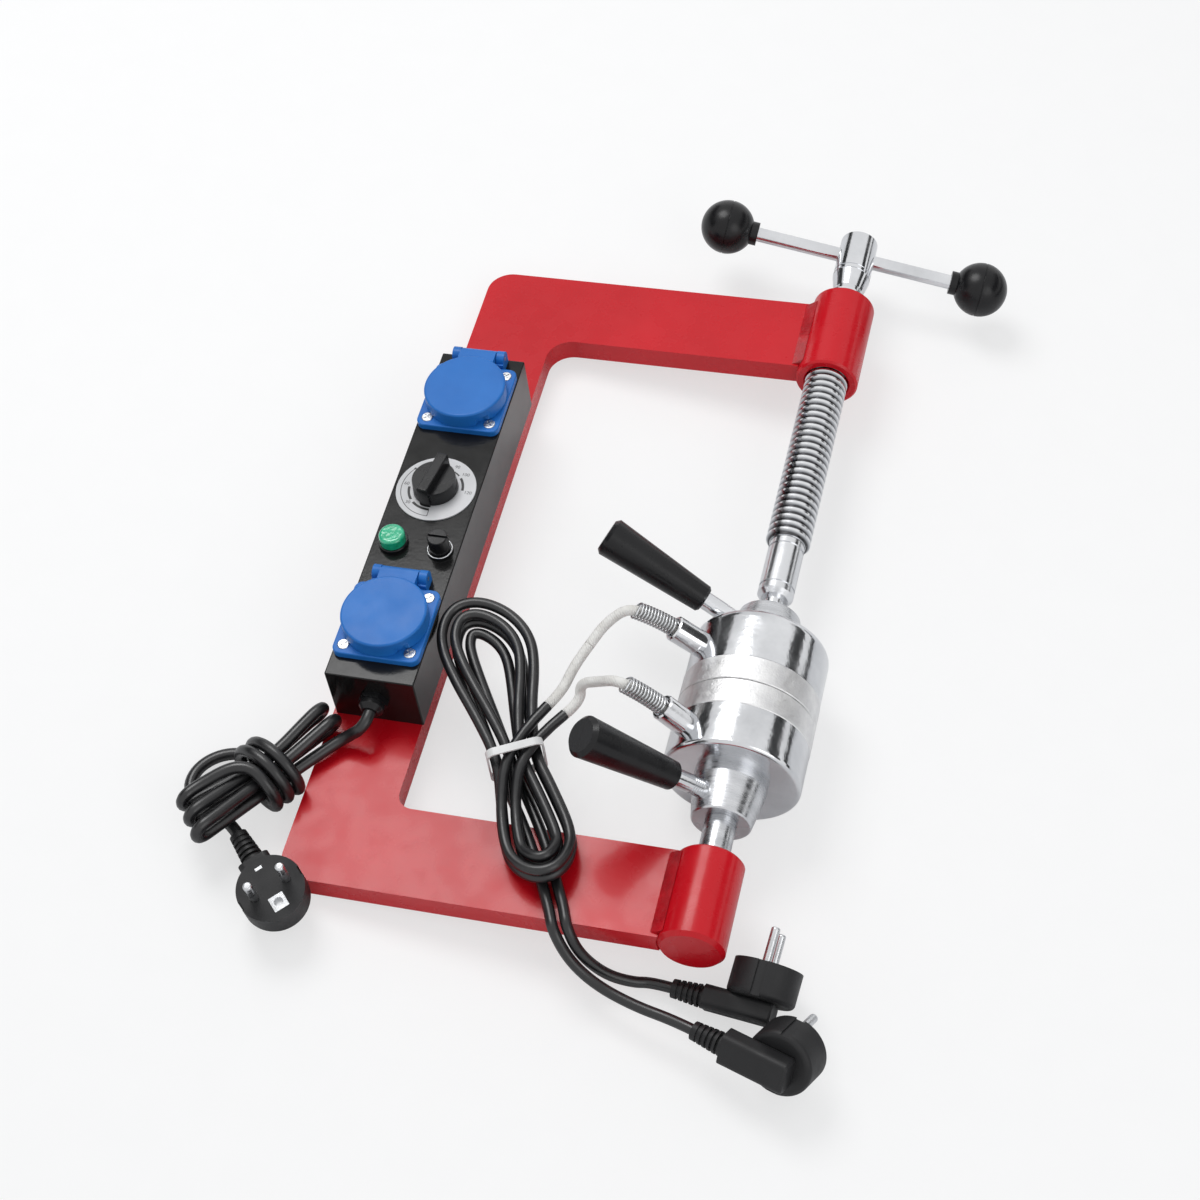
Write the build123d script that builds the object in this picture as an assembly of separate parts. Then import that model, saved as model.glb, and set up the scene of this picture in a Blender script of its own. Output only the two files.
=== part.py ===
from build123d import *
import math
import os

# A tire vulcanizer: a screw press that closes two heated plates in a welded C frame.
# It lies on its side on a table. The cases round the plates and the spine's lower edge touch
# the table. Machine axes, used for every rigid piece: X runs from the spine to the screw,
# with 0 on the screw's axis, Y runs along the screw, with 0 at the lower arm's outer edge, and
# Z is square to the frame plate, with 0 in its middle. The last section lays the machine on the
# table and works out the row's own axes, which the cords use: Z up and 0 at the table.

# Clearances and small values that many pieces share, in millimetres
running = 0.08
apart = 0.3
weld_gap = 0.05
overrun = 2.0
edge_round = 0.8

# Frame plate
throat = 174.0
spine_width = 52.0
arm_width = 52.6
frame_length = 454.0
plate_thickness = 14.0
outer_corner_radius = 15.0
upper_corner_radius = 15.0
lower_corner_radius = 9.0

# Boss tubes welded to the arm ends
upper_boss_radius = 19.0
upper_boss_length = 64.0
upper_boss_overhang = 6.4
lower_boss_radius = 18.2
lower_boss_length = 54.4
lower_boss_overhang = 1.6
boss_chamfer = 1.2
lower_boss_chamfer = 2.2
weld_leg = 4.6

# Heating plates, cases and what they hold
plate_radius = 38.6
heating_plate_thickness = 15.5
plate_gap = 0.4
plate_chamfer = 0.5
case_radius = 38.3
case_wall = 1.8
lower_case_height = 26.0
upper_case_height = 34.0
upper_case_round = 7.0
rim_bead_radius = 2.4
element_radius = 31.0
element_thickness = 5.0
insulation_radius = 33.0

# Lower collar and the post that carries it
post_radius = 8.7
post_seat_depth = 34.0
post_showing = 23.6
post_groove_depth = 1.1
lower_collar_length = 26.6
lower_collar_end_radius = 16.6
lower_collar_wide_radius = 20.4
lower_collar_land = 4.6
collar_spigot_radius = 10.0
collar_spigot_length = 7.0
collar_thread_pitch = 1.5
post_end_cover = 4.0

# Upper collar and the screw that carries it
upper_collar_length = 20.3
upper_collar_end_radius = 17.6
upper_collar_wide_radius = 22.5
pin_radius = 5.6
pin_groove_depth = 1.4
pin_end_clearance = 0.3
pad_thickness = 2.0
pad_radius = 5.2
pin_showing = 13.0
tip_length = 40.0
tip_radius = 10.4
tip_chamfer = 2.6
tip_groove_width = 1.6
tip_groove_start = 6.0
screw_radius = 13.0
screw_thread_length = 200.3
thread_pitch = 5.0

# Tee head, bar and ball knobs
head_neck_radius = 9.2
head_neck_length = 11.0
head_spigot_radius = 6.0
head_radius = 11.7
head_flare_length = 17.0
head_length = 50.0
head_chamfer = 1.0
bar_radius = 4.5
bar_from_head_top = 13.8
bar_turn = 11.9
bar_offset = -1.5
ball_spacing = 165.0
ball_radius = 17.0
ball_nub_radius = 7.4
ball_nub_length = 2.6
ball_bore_depth = 12.0
ball_seam_radius = 0.35

# Lock handles, the same on both collars
handle_tilt = 12.9
upper_handle_turn = 26.9
lower_handle_turn = 50.2
upper_handle_y = 199.3
lower_handle_y = 91.8
stem_radius = 5.2
dog_radius = 2.6
dog_length = 2.6
grip_start = 40.5
grip_length = 66.0
grip_near_radius = 8.0
grip_far_radius = 11.4
grip_near_chamfer = 1.4
grip_far_round = 2.2
stem_seat_depth = 41.0
stem_rings = 5
stem_ring_start = 21.5

# Cable inlets and their springs
inlet_radius = 7.3
inlet_end = 57.5
inlet_inner_start = 35.4
inlet_bore_radius = 5.5
inlet_neck_radius = 5.7
inlet_chamfer = 0.8
upper_inlet_turn = 40.0
lower_inlet_turn = 49.0
upper_inlet_y = 173.0
lower_inlet_y = 116.6
spring_wire_radius = 0.6
spring_coil_radius = 4.6
spring_curls = 13
spring_length = 27.6
spring_close_pitch = 1.88
spring_seat_length = 3.0

# Control box
box_width = 51.2
box_length = 240.8
box_height = 37.5
box_start_y = 106.4
box_center_x = -198.7
box_wall = 1.2
box_edge_round = 0.8

# Sockets with sprung lids
lower_socket_y = 143.5
upper_socket_y = 311.2
flange_size = 50.0
flange_thickness = 4.0
flange_corner = 5.0
socket_screw_spacing = 38.0
socket_screw_radius = 1.9
socket_screw_head_radius = 3.4
socket_screw_head_height = 1.1
socket_screw_length = 12.0
socket_screw_slot = 0.7
socket_screw_slot_share = 1.3
socket_screw_relief = 1.0
collar_ring_radius = 22.0
collar_ring_height = 5.5
recess_radius = 19.75
recess_depth = 17.5
contact_cover = 2.0
socket_body_radius = 21.3
socket_body_depth = 28.5
contact_spacing = 19.0
contact_bore_radius = 2.5
contact_radius = 3.3
contact_length = 16.0
pin_hole_radius = 2.9
earth_clip_width = 4.0
earth_clip_thickness = 1.0
earth_clip_length = 12.0
lid_radius = 24.2
lid_height = 9.6
lid_wall = 1.5
lid_top_thickness = 2.2
lid_edge_round = 1.4
lid_notch_width = 12.0
lid_notch_turn = -52.0
hinge_distance = 30.6
hinge_lift = 2.4
hinge_tab_width = 22.0
hinge_ear_width = 4.6
hinge_ear_radius = 4.4
hinge_pin_radius = 1.2

# Thermostat, lamp and fuse
dial_y = 242.3
dial_radius = 23.4
dial_thickness = 0.8
dial_hole_radius = 7.0
knob_radius = 13.2
knob_base_height = 9.0
knob_height = 16.0
knob_blade_width = 6.4
knob_blade_reach = 14.6
knob_turn = 10.0
knob_lift = 0.6
knob_seat_height = 11.0
shaft_radius = 3.0
thermostat_width = 34.0
thermostat_depth = 20.0
thermostat_bush_radius = 5.0
lamp_offset_x = -13.4
lamp_y = 200.6
lamp_bezel_radius = 8.6
lamp_bezel_height = 2.4
lamp_lens_radius = 7.5
lamp_lens_height = 6.4
lamp_lens_round = 2.0
lamp_barrel_radius = 6.2
lamp_barrel_depth = 22.0
fuse_offset_x = 14.7
fuse_y = 199.2
fuse_ring_radius = 7.4
fuse_ring_height = 1.6
fuse_body_radius = 6.0
fuse_body_depth = 30.0
fuse_wall = 1.2
fuse_cap_radius = 5.9
fuse_cap_height = 11.0
fuse_cap_slot_width = 1.6
fuse_cap_slot_depth = 1.2
fuse_cap_plug_radius = 4.4
fuse_cap_plug_length = 4.0
fuse_link_radius = 2.5

# Gland and terminal block
gland_height = 18.6
gland_radius = 8.6
gland_flange_length = 3.2
gland_nose_radius = 7.0
gland_mouth_radius = 4.6
gland_thread_radius = 6.4
gland_nose_length = 5.6
gland_inner_length = 6.0

# Plugs
plug_radius = 18.3
plug_head_height = 19.0
plug_back_round = 3.0
plug_notch_width = 5.0
plug_notch_depth = 1.2
plug_arm_reach = 28.0
plug_arm_tail = 9.0
plug_arm_depth = 24.0
plug_arm_chamfer = 1.0
plug_arm_width = 18.0
plug_arm_height = 12.5
plug_arm_round = 3.5
relief_radius = 6.2
relief_end_radius = 5.0
relief_length = 18.0
relief_ribs = 5
relief_groove_depth = 0.6
plug_pin_radius = 2.4
plug_pin_length = 19.0
plug_pin_seat = 10.0
plug_pin_root_radius = 2.0
plug_pin_root_showing = 0.4
earth_hole_offset = 9.0
earth_frame_size = 8.4
earth_frame_depth = 6.0
plug_clip_offset = 13.0
plug_clip_thickness = 1.6

# Cords
cord_radius = 3.4
lead_radius = 3.0
sleeve_radius = 2.9
flat_turn = 0.0001
point_step = 1.5
spring_droop = 3.4
lower_sag_share = 0.75
sleeve_shares = (0.3, 0.75, 1.2)
bend_share = 0.45

# Hank of the heater leads, drawn in at its waist
hank_turn = 62.87
hank_waist_x = -111.5
hank_waist_y = 83.0
hank_clearance = 0.4
hank_rise_share = 0.13
hank_layer = 7.2
hank_lane = 7.6
hank_tail_drop_share = 0.5
hank_cross_share = 2.1
hank_upper_reach = 98.5
hank_lower_reach = 71.7
hank_upper_half = 24.5
hank_lower_half = 18.0
hank_waist_half = 11.0
hank_upper_extreme = 64.0
hank_lower_extreme = 44.0
hank_slant = 5.0
hank_entry = 16.0
tie_clearance = 0.7
tie_width = 4.4
tie_thickness = 1.1
tie_corner = 4.0
tie_head_length = 6.0
tie_head_height = 4.4

# Hank of the supply cord, held by its own wraps
tied_turn = 57.95
tied_x = -243.1
tied_y = 60.0
tied_z = 21.4
tied_row = 6.6
tied_pitch = 7.3
tied_bend = 5.5
tied_fan = 10.2
tied_left_reach = 59.5
tied_finger_z = 27.3
tied_right_reach = 42.0
tied_start = 30.0
tied_bight_v = 3.5
tied_bight_step = 10.5
tied_bight_z = 24.4
tied_wrap_start = 90.0
tied_climb_share = 1.1
tied_wrap_u = 15.5
tied_wrap_pitch = 7.7
tied_wrap_half_width = 17.8
tied_wrap_half_height = 15.6
tied_wrap_quarters = 10


# Helpers


def rod(radius, start, end):
    """A cylinder along the screw's axis, from one Y to another."""
    return Pos(0, start, 0) * Rot(-90, 0, 0) * Cylinder(
        radius, end - start, align=(Align.CENTER, Align.CENTER, Align.MIN))


def turned(outline):
    """A solid turned about the screw's axis from points of (radius, y)."""
    return revolve(make_face(Polyline(*outline, close=True)), axis=Axis.Y)


def upright(radius, bottom, top):
    """A cylinder along Z."""
    return Pos(0, 0, bottom) * Cylinder(radius, top - bottom, align=(Align.CENTER, Align.CENTER, Align.MIN))


def spun(outline):
    """A solid turned about Z from points of (radius, z)."""
    return revolve(make_face(Plane.XZ * Polyline(*outline, close=True)), axis=Axis.Z)


def block(x0, x1, y0, y1, z0, z1):
    """A box between two corners."""
    return Pos((x0 + x1) / 2, (y0 + y1) / 2, (z0 + z1) / 2) * Box(x1 - x0, y1 - y0, z1 - z0)


def groove(radius, depth, start, end):
    """The ring that a turned groove takes off a rod."""
    return rod(radius + overrun, start, end) - rod(radius - depth, start, end)


def outward(turn, tilt, y):
    """A place on the screw's axis whose Z points outward, turned up from the spine and tilted to +Y."""
    return Pos(0, y, 0) * Rot(0, turn - 90, 0) * Rot(-tilt, 0, 0)


def boss_edge(radius):
    """How far from the axis a boss meets the plate's faces."""
    return math.sqrt(radius ** 2 - (plate_thickness / 2) ** 2)


def group(pieces):
    return Compound(children=[solid for piece in pieces for solid in piece.solids()])


# Places that follow from the sizes
plate_top = plate_thickness / 2
spine_x = -throat - spine_width
upper_arm_y = frame_length - arm_width
boss_top = frame_length + upper_boss_overhang
lower_boss_top = lower_boss_length - lower_boss_overhang
lower_collar_y = lower_boss_top + post_showing
lower_case_y = lower_collar_y + lower_collar_length
lower_plate_y = lower_case_y + lower_case_height
seam_y = lower_plate_y + heating_plate_thickness
upper_plate_y = seam_y + plate_gap
upper_case_y = upper_plate_y + heating_plate_thickness
upper_collar_y = upper_case_y + upper_case_height
pin_end_y = upper_collar_y + pad_thickness + pin_end_clearance
tip_end_y = upper_collar_y + upper_collar_length + pin_showing
thread_start_y = tip_end_y + tip_length
thread_end_y = thread_start_y + screw_thread_length
head_top_y = thread_end_y + head_length
bar_y = head_top_y - bar_from_head_top
box_top = plate_top + box_height
groove_half = dog_radius + plate_gap * 2


# Frame


def frame_plate():
    lower_end = -boss_edge(lower_boss_radius) - apart
    upper_end = -boss_edge(upper_boss_radius) - apart
    outline = make_face(Polyline(
        (spine_x, 0), (lower_end, 0), (lower_end, arm_width), (-throat, arm_width),
        (-throat, upper_arm_y), (upper_end, upper_arm_y), (upper_end, frame_length),
        (spine_x, frame_length), close=True))
    for x, y, radius in (
            (spine_x, 0, outer_corner_radius), (spine_x, frame_length, outer_corner_radius),
            (-throat, upper_arm_y, upper_corner_radius), (-throat, arm_width, lower_corner_radius)):
        outline = fillet(outline.vertices().sort_by_distance((x, y, 0))[0], radius)
    plate = Pos(0, 0, -plate_top) * extrude(outline, plate_thickness)
    plate -= rod(lower_boss_radius + weld_gap, -arm_width, 2 * arm_width)
    plate -= rod(upper_boss_radius + weld_gap, upper_arm_y - arm_width, frame_length + arm_width)
    return plate


def upper_boss():
    start = boss_top - upper_boss_length
    bore = screw_radius + running
    return turned([
        (bore + boss_chamfer, start), (upper_boss_radius - boss_chamfer, start),
        (upper_boss_radius, start + boss_chamfer), (upper_boss_radius, boss_top - boss_chamfer),
        (upper_boss_radius - boss_chamfer, boss_top), (bore + boss_chamfer, boss_top),
        (bore, boss_top - boss_chamfer), (bore, start + boss_chamfer)])


def lower_boss():
    start = -lower_boss_overhang
    seat = post_radius + weld_gap
    return turned([
        (0, start), (lower_boss_radius - lower_boss_chamfer, start),
        (lower_boss_radius, start + lower_boss_chamfer), (lower_boss_radius, lower_boss_top - boss_chamfer),
        (lower_boss_radius - boss_chamfer, lower_boss_top), (seat, lower_boss_top),
        (seat, lower_boss_top - post_seat_depth), (0, lower_boss_top - post_seat_depth)])


def weld_bead(radius, start, end, side):
    edge = boss_edge(radius)
    corner = make_face(Plane.XZ * Polyline(
        (-edge - weld_leg, side * plate_top), (-edge + weld_leg / 2, side * plate_top),
        (-edge + weld_leg / 2, side * (plate_top + weld_leg)), close=True))
    bead = Pos(0, start, 0) * extrude(corner, end - start, dir=(0, 1, 0))
    return bead - rod(radius + weld_gap, start - overrun, end + overrun)


def weld_beads():
    lower = (lower_boss_radius, lower_boss_chamfer, arm_width - lower_boss_chamfer)
    upper = (upper_boss_radius, upper_arm_y + boss_chamfer, frame_length - boss_chamfer)
    return group([weld_bead(*seam, side) for seam in (lower, upper) for side in (-1, 1)])


def dog_y(axis_y, radius, tilt):
    """Where a lock handle's dog meets the groove in a pin or post of this radius."""
    return axis_y + radius * math.tan(math.radians(tilt))


def lower_post():
    end = lower_case_y - post_end_cover
    post = rod(post_radius, lower_boss_top - post_seat_depth, end)
    dog = dog_y(lower_handle_y, post_radius, -handle_tilt)
    post -= groove(post_radius, post_groove_depth, dog - groove_half, dog + groove_half)
    for ring in (1, 2):
        y = lower_collar_y - ring * collar_thread_pitch
        post -= groove(post_radius, collar_thread_pitch / 4, y, y + collar_thread_pitch / 2)
    return post


# Feed screw, head and bar


def feed_screw():
    core = screw_radius - thread_pitch / 3
    outline = [
        (0, pin_end_y), (pin_radius, pin_end_y), (pin_radius, tip_end_y),
        (tip_radius - tip_chamfer, tip_end_y), (tip_radius, tip_end_y + tip_chamfer),
        (tip_radius, thread_start_y)]
    for ridge in range(round(screw_thread_length / thread_pitch)):
        y = thread_start_y + ridge * thread_pitch
        outline += [
            (core, y), (core, y + thread_pitch / 4), (screw_radius, y + thread_pitch / 2),
            (screw_radius, y + thread_pitch * 3 / 4)]
    outline += [
        (core, thread_end_y), (head_spigot_radius, thread_end_y),
        (head_spigot_radius, thread_end_y + head_neck_length), (0, thread_end_y + head_neck_length)]
    screw = turned(outline)
    dog = dog_y(upper_handle_y, pin_radius, handle_tilt)
    screw -= groove(pin_radius, pin_groove_depth, dog - groove_half, dog + groove_half)
    for y in (tip_end_y + tip_groove_start, thread_start_y - tip_groove_start):
        screw -= groove(tip_radius, tip_groove_width / 3, y, y + tip_groove_width)
    return screw


def thrust_pad():
    return rod(pad_radius, upper_collar_y, upper_collar_y + pad_thickness)


def tee_head():
    flare = thread_end_y + head_flare_length
    head = turned([
        (0, thread_end_y + weld_gap), (head_neck_radius, thread_end_y + weld_gap),
        (head_neck_radius, thread_end_y + head_neck_length / 2), (head_radius, flare),
        (head_radius, head_top_y - head_chamfer), (head_radius - head_chamfer, head_top_y),
        (0, head_top_y)])
    spigot_end_y = thread_end_y + head_neck_length + weld_gap
    head -= rod(head_spigot_radius + weld_gap, thread_end_y - overrun, spigot_end_y)
    for y in (flare, flare + tip_groove_width * 2):
        head -= groove(head_radius, tip_groove_width / 5, y, y + tip_groove_width / 2)
    return head - bar_place() * upright(bar_radius + running, -ball_spacing, ball_spacing)


def bar_place():
    """The bar's own place, with Z along it toward the right-hand ball."""
    return Pos(0, bar_y, 0) * Rot(0, 90 + bar_turn, 0) * Pos(0, 0, bar_offset)


def tommy_bar():
    reach = ball_spacing / 2 - ball_radius + ball_bore_depth
    return bar_place() * upright(bar_radius, -reach, reach)


def ball_knob(side):
    """A ball with a short nub toward the head and a bore for the bar's end."""
    nub_end = ball_radius + ball_nub_length
    nub = upright(ball_nub_radius, -nub_end, -ball_radius / 2)
    bore = upright(bar_radius + weld_gap, -nub_end - overrun, -ball_radius + ball_bore_depth + weld_gap)
    seam = Torus(ball_radius, ball_seam_radius)
    ball = Sphere(ball_radius) + nub - bore - seam
    turn = Rot(0, 0, 0) if side > 0 else Rot(180, 0, 0)
    return bar_place() * Pos(0, 0, side * ball_spacing / 2) * turn * ball


# Heaters


def handle_place(upper):
    if upper:
        return outward(upper_handle_turn, handle_tilt, upper_handle_y)
    return outward(lower_handle_turn, -handle_tilt, lower_handle_y)


def lower_collar():
    wide_y = lower_case_y - lower_collar_land
    bore_end = lower_case_y - post_end_cover + pin_end_clearance
    collar = turned([
        (post_radius + running, lower_collar_y), (lower_collar_end_radius - edge_round, lower_collar_y),
        (lower_collar_end_radius, lower_collar_y + edge_round), (lower_collar_wide_radius, wide_y),
        (lower_collar_wide_radius, lower_case_y), (collar_spigot_radius, lower_case_y),
        (collar_spigot_radius, lower_case_y + collar_spigot_length),
        (0, lower_case_y + collar_spigot_length), (0, bore_end), (post_radius + running, bore_end)])
    return collar - handle_place(False) * upright(stem_radius + weld_gap, 0, grip_start)


def upper_collar():
    collar = turned([
        (0, upper_collar_y - collar_spigot_length),
        (collar_spigot_radius, upper_collar_y - collar_spigot_length),
        (collar_spigot_radius, upper_collar_y), (upper_collar_wide_radius, upper_collar_y),
        (upper_collar_end_radius, upper_collar_y + upper_collar_length - edge_round),
        (upper_collar_end_radius - edge_round, upper_collar_y + upper_collar_length),
        (pin_radius + running, upper_collar_y + upper_collar_length),
        (pin_radius + running, upper_collar_y - weld_gap), (0, upper_collar_y - weld_gap)])
    return collar - handle_place(True) * upright(stem_radius + weld_gap, 0, grip_start)


def handle_stem(upper):
    """A rod through the collar's wall, with a dog that reaches into the groove and a threaded root."""
    held = pin_radius if upper else post_radius
    depth = pin_groove_depth if upper else post_groove_depth
    tilt = math.radians(handle_tilt)
    step = (held + running) / math.cos(tilt) + dog_length
    tip = (held - depth / 2 + dog_radius * math.sin(tilt)) / math.cos(tilt)
    stem = upright(stem_radius, step, grip_start + stem_seat_depth)
    stem += upright(dog_radius, tip, step + overrun)
    for ring in range(stem_rings):
        z = stem_ring_start + ring * collar_thread_pitch
        cut = upright(stem_radius + overrun, z, z + collar_thread_pitch / 2)
        stem -= cut - upright(stem_radius - collar_thread_pitch / 4, z, z + collar_thread_pitch / 2)
    return handle_place(upper) * stem


def handle_grip(upper):
    end = grip_start + grip_length
    grip = spun([
        (0, grip_start), (grip_near_radius - grip_near_chamfer, grip_start),
        (grip_near_radius, grip_start + grip_near_chamfer), (grip_far_radius, end - grip_far_round),
        (grip_far_radius - grip_far_round, end), (0, end)])
    grip -= upright(stem_radius + weld_gap, grip_start - overrun, grip_start + stem_seat_depth + weld_gap)
    return handle_place(upper) * grip


def inlet_place(upper):
    if upper:
        return outward(upper_inlet_turn, 0, upper_inlet_y)
    return outward(lower_inlet_turn, 0, lower_inlet_y)


def case(upper):
    """A bright cup over the back of a heating plate, open toward the plate."""
    height = upper_case_height if upper else lower_case_height
    soft = upper_case_round if upper else rim_bead_radius
    outer = Cylinder(case_radius, height, align=(Align.CENTER, Align.CENTER, Align.MIN))
    outer = fillet(outer.edges().sort_by(Axis.Z)[0], soft)
    inner = Cylinder(case_radius - case_wall, height, align=(Align.CENTER, Align.CENTER, Align.MIN))
    if upper:
        inner = fillet(inner.edges().sort_by(Axis.Z)[0], soft - case_wall)
    cup = outer - Pos(0, 0, case_wall) * inner
    cup -= upright(collar_spigot_radius + weld_gap, -overrun, case_wall + overrun)
    if upper:
        cup = Pos(0, upper_collar_y, 0) * Rot(90, 0, 0) * cup
    else:
        cup = Pos(0, lower_case_y, 0) * Rot(-90, 0, 0) * cup
    return cup - inlet_place(upper) * upright(inlet_neck_radius + weld_gap, 0, case_radius + overrun)


def heating_plate(upper):
    start = upper_plate_y if upper else lower_plate_y
    plate = rod(plate_radius, start, start + heating_plate_thickness)
    return chamfer(plate.edges().filter_by(GeomType.CIRCLE), plate_chamfer)


def heating_element(upper):
    """A flat ring against the back of its heating plate."""
    start = upper_case_y if upper else lower_plate_y - element_thickness
    ring = rod(element_radius, start, start + element_thickness)
    return ring - rod(collar_spigot_radius, start - overrun, start + element_thickness + overrun)


def insulation(upper):
    """A pad between the element and the end of the case."""
    if upper:
        start = upper_case_y + element_thickness
        end = upper_collar_y - upper_case_round
    else:
        start = lower_case_y + case_wall
        end = lower_plate_y - element_thickness
    pad = rod(insulation_radius, start, end)
    pad -= rod(collar_spigot_radius + weld_gap, lower_case_y, lower_case_y + collar_spigot_length)
    pad -= rod(collar_spigot_radius + weld_gap, upper_collar_y - collar_spigot_length, upper_collar_y)
    return pad


def inlet(upper):
    """A bright ferrule on the case, counterbored for the spring and the sleeve."""
    barrel = spun([
        (0, inlet_inner_start), (inlet_neck_radius, inlet_inner_start),
        (inlet_neck_radius, case_radius - inlet_radius / 2), (inlet_radius, case_radius - inlet_radius / 2),
        (inlet_radius, inlet_end - inlet_chamfer), (inlet_radius - inlet_chamfer, inlet_end),
        (inlet_bore_radius, inlet_end), (inlet_bore_radius, inlet_end - spring_seat_length),
        (0, inlet_end - spring_seat_length)])
    barrel = inlet_place(upper) * barrel
    inside = upright(inlet_radius + overrun, 0, case_radius) - upright(inlet_neck_radius, 0, case_radius)
    start = upper_case_y if upper else lower_case_y
    length = upper_case_height if upper else lower_case_height
    return barrel - (rod(case_radius + weld_gap, start, start + length) & inlet_place(upper) * inside)


# Control box


def box_edges(shape):
    """The long outer edges of the cover, and those round its top."""
    top = shape.edges().group_by(Axis.Z)[-1]
    return top + shape.edges().filter_by(Axis.Z)


def control_box():
    x0 = box_center_x - box_width / 2
    y1 = box_start_y + box_length
    cover = block(x0, x0 + box_width, box_start_y, y1, plate_top, box_top)
    cover = fillet(box_edges(cover), box_edge_round)
    cover -= block(
        x0 + box_wall, x0 + box_width - box_wall, box_start_y + box_wall, y1 - box_wall,
        plate_top - overrun, box_top - box_wall)
    low, high = box_top - box_wall - overrun, box_top + overrun
    for y in (lower_socket_y, upper_socket_y):
        cover -= Pos(box_center_x, y, 0) * upright(socket_body_radius + apart, low, high)
        for x, dy in screw_places():
            cover -= Pos(box_center_x + x, y + dy, 0) * upright(socket_screw_radius + running, low, high)
    cover -= Pos(box_center_x, dial_y, 0) * upright(thermostat_bush_radius + running, low, high)
    cover -= Pos(box_center_x + lamp_offset_x, lamp_y, 0) * upright(lamp_barrel_radius + running, low, high)
    cover -= Pos(box_center_x + fuse_offset_x, fuse_y, 0) * upright(fuse_body_radius + running, low, high)
    gland_z = plate_top + gland_height
    wall = rod(gland_thread_radius + running, box_start_y - overrun, box_start_y + box_wall + overrun)
    return cover - Pos(box_center_x, 0, gland_z) * wall


def screw_places():
    half = socket_screw_spacing / 2
    return [(x, y) for x in (-half, half) for y in (-half, half)]


def socket_place(upper):
    return Pos(box_center_x, upper_socket_y if upper else lower_socket_y, box_top)


def ear(x):
    """One side of the hinge, standing on the cover behind the flange."""
    reach = hinge_distance + hinge_ear_radius
    lift = flange_thickness + hinge_lift
    side = block(x, x + hinge_ear_width, flange_size / 2, reach, 0, lift)
    side += Pos(x, hinge_distance, lift) * Rot(0, 90, 0) * upright(hinge_ear_radius, 0, hinge_ear_width)
    return side - Pos(x, hinge_distance, lift) * Rot(0, 90, 0) * upright(
        hinge_pin_radius + weld_gap, -overrun, hinge_ear_width + overrun)


def socket(upper):
    """A flush socket: a square flange, a round rim, a deep recess and a body inside the box."""
    flange = Pos(0, 0, flange_thickness / 2) * Box(flange_size, flange_size, flange_thickness)
    flange = fillet(flange.edges().filter_by(Axis.Z), flange_corner)
    flange = fillet(flange.edges().group_by(Axis.Z)[-1], edge_round)
    rim_top = flange_thickness + collar_ring_height
    body = flange + upright(collar_ring_radius, 0, rim_top)
    body += upright(socket_body_radius, -socket_body_depth, 0)
    floor = rim_top - recess_depth
    body -= upright(recess_radius, floor, rim_top + overrun)
    for side in (-1, 1):
        hole = Pos(side * contact_spacing / 2, 0, 0)
        body -= hole * upright(pin_hole_radius, floor - contact_cover, floor + overrun)
        body -= hole * upright(contact_radius + weld_gap, floor - contact_cover - contact_length - weld_gap,
                               floor - contact_cover)
        clip = Pos(0, side * (recess_radius - earth_clip_thickness / 2), 0)
        slot_width = earth_clip_width + 2 * weld_gap
        slot = Box(slot_width, 2 * earth_clip_thickness + 2 * weld_gap, earth_clip_length + weld_gap)
        body -= clip * Pos(0, 0, floor + earth_clip_length / 2 - overrun) * slot
    for x, y in screw_places():
        body -= Pos(x, y, 0) * upright(socket_screw_radius + weld_gap, -overrun, flange_thickness + overrun)
        body -= Pos(x, y, 0) * upright(socket_screw_head_radius + running,
                                       flange_thickness - socket_screw_head_height / 2,
                                       flange_thickness + overrun)
    tab_edge = hinge_tab_width / 2 + apart
    body += ear(-tab_edge - hinge_ear_width) + ear(tab_edge)
    return socket_place(upper) * body


def hinge_place(upper):
    """The middle of a lid's hinge, with Z along its pin."""
    return socket_place(upper) * Pos(0, hinge_distance, flange_thickness + hinge_lift) * Rot(0, 90, 0)


def lid(upper):
    """A round cap over the rim, with a knuckle between the hinge's two ears."""
    low = flange_thickness + apart
    cap = upright(lid_radius, low, low + lid_height)
    cap = fillet(cap.edges().sort_by(Axis.Z)[-1], lid_edge_round)
    half = hinge_tab_width / 2
    arm_low = low + lid_top_thickness / 2
    cap += block(-half, half, 0, hinge_distance, arm_low, low + lid_height - lid_top_thickness)
    cap = socket_place(upper) * cap
    knuckle = hinge_ear_radius - apart
    cap += hinge_place(upper) * upright(knuckle, -half, half)
    inside = upright(lid_radius - lid_wall, low - overrun, low + lid_height - lid_top_thickness)
    for x, y in screw_places():
        inside += Pos(x, y, 0) * upright(
            socket_screw_head_radius + socket_screw_relief, low - overrun,
            flange_thickness + socket_screw_head_height / 2 + socket_screw_relief / 2)
    inside += Rot(0, 0, lid_notch_turn) * Pos(lid_radius + lid_notch_width / 3, 0, 0) * upright(
        lid_notch_width / 2, low - overrun, low + lid_height / 2)
    cap -= socket_place(upper) * inside
    return cap - hinge_place(upper) * upright(hinge_pin_radius + running, -half - overrun, half + overrun)


def lid_pins():
    half = hinge_tab_width / 2 + apart + hinge_ear_width
    return group([hinge_place(upper) * upright(hinge_pin_radius, -half, half) for upper in (False, True)])


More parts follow.
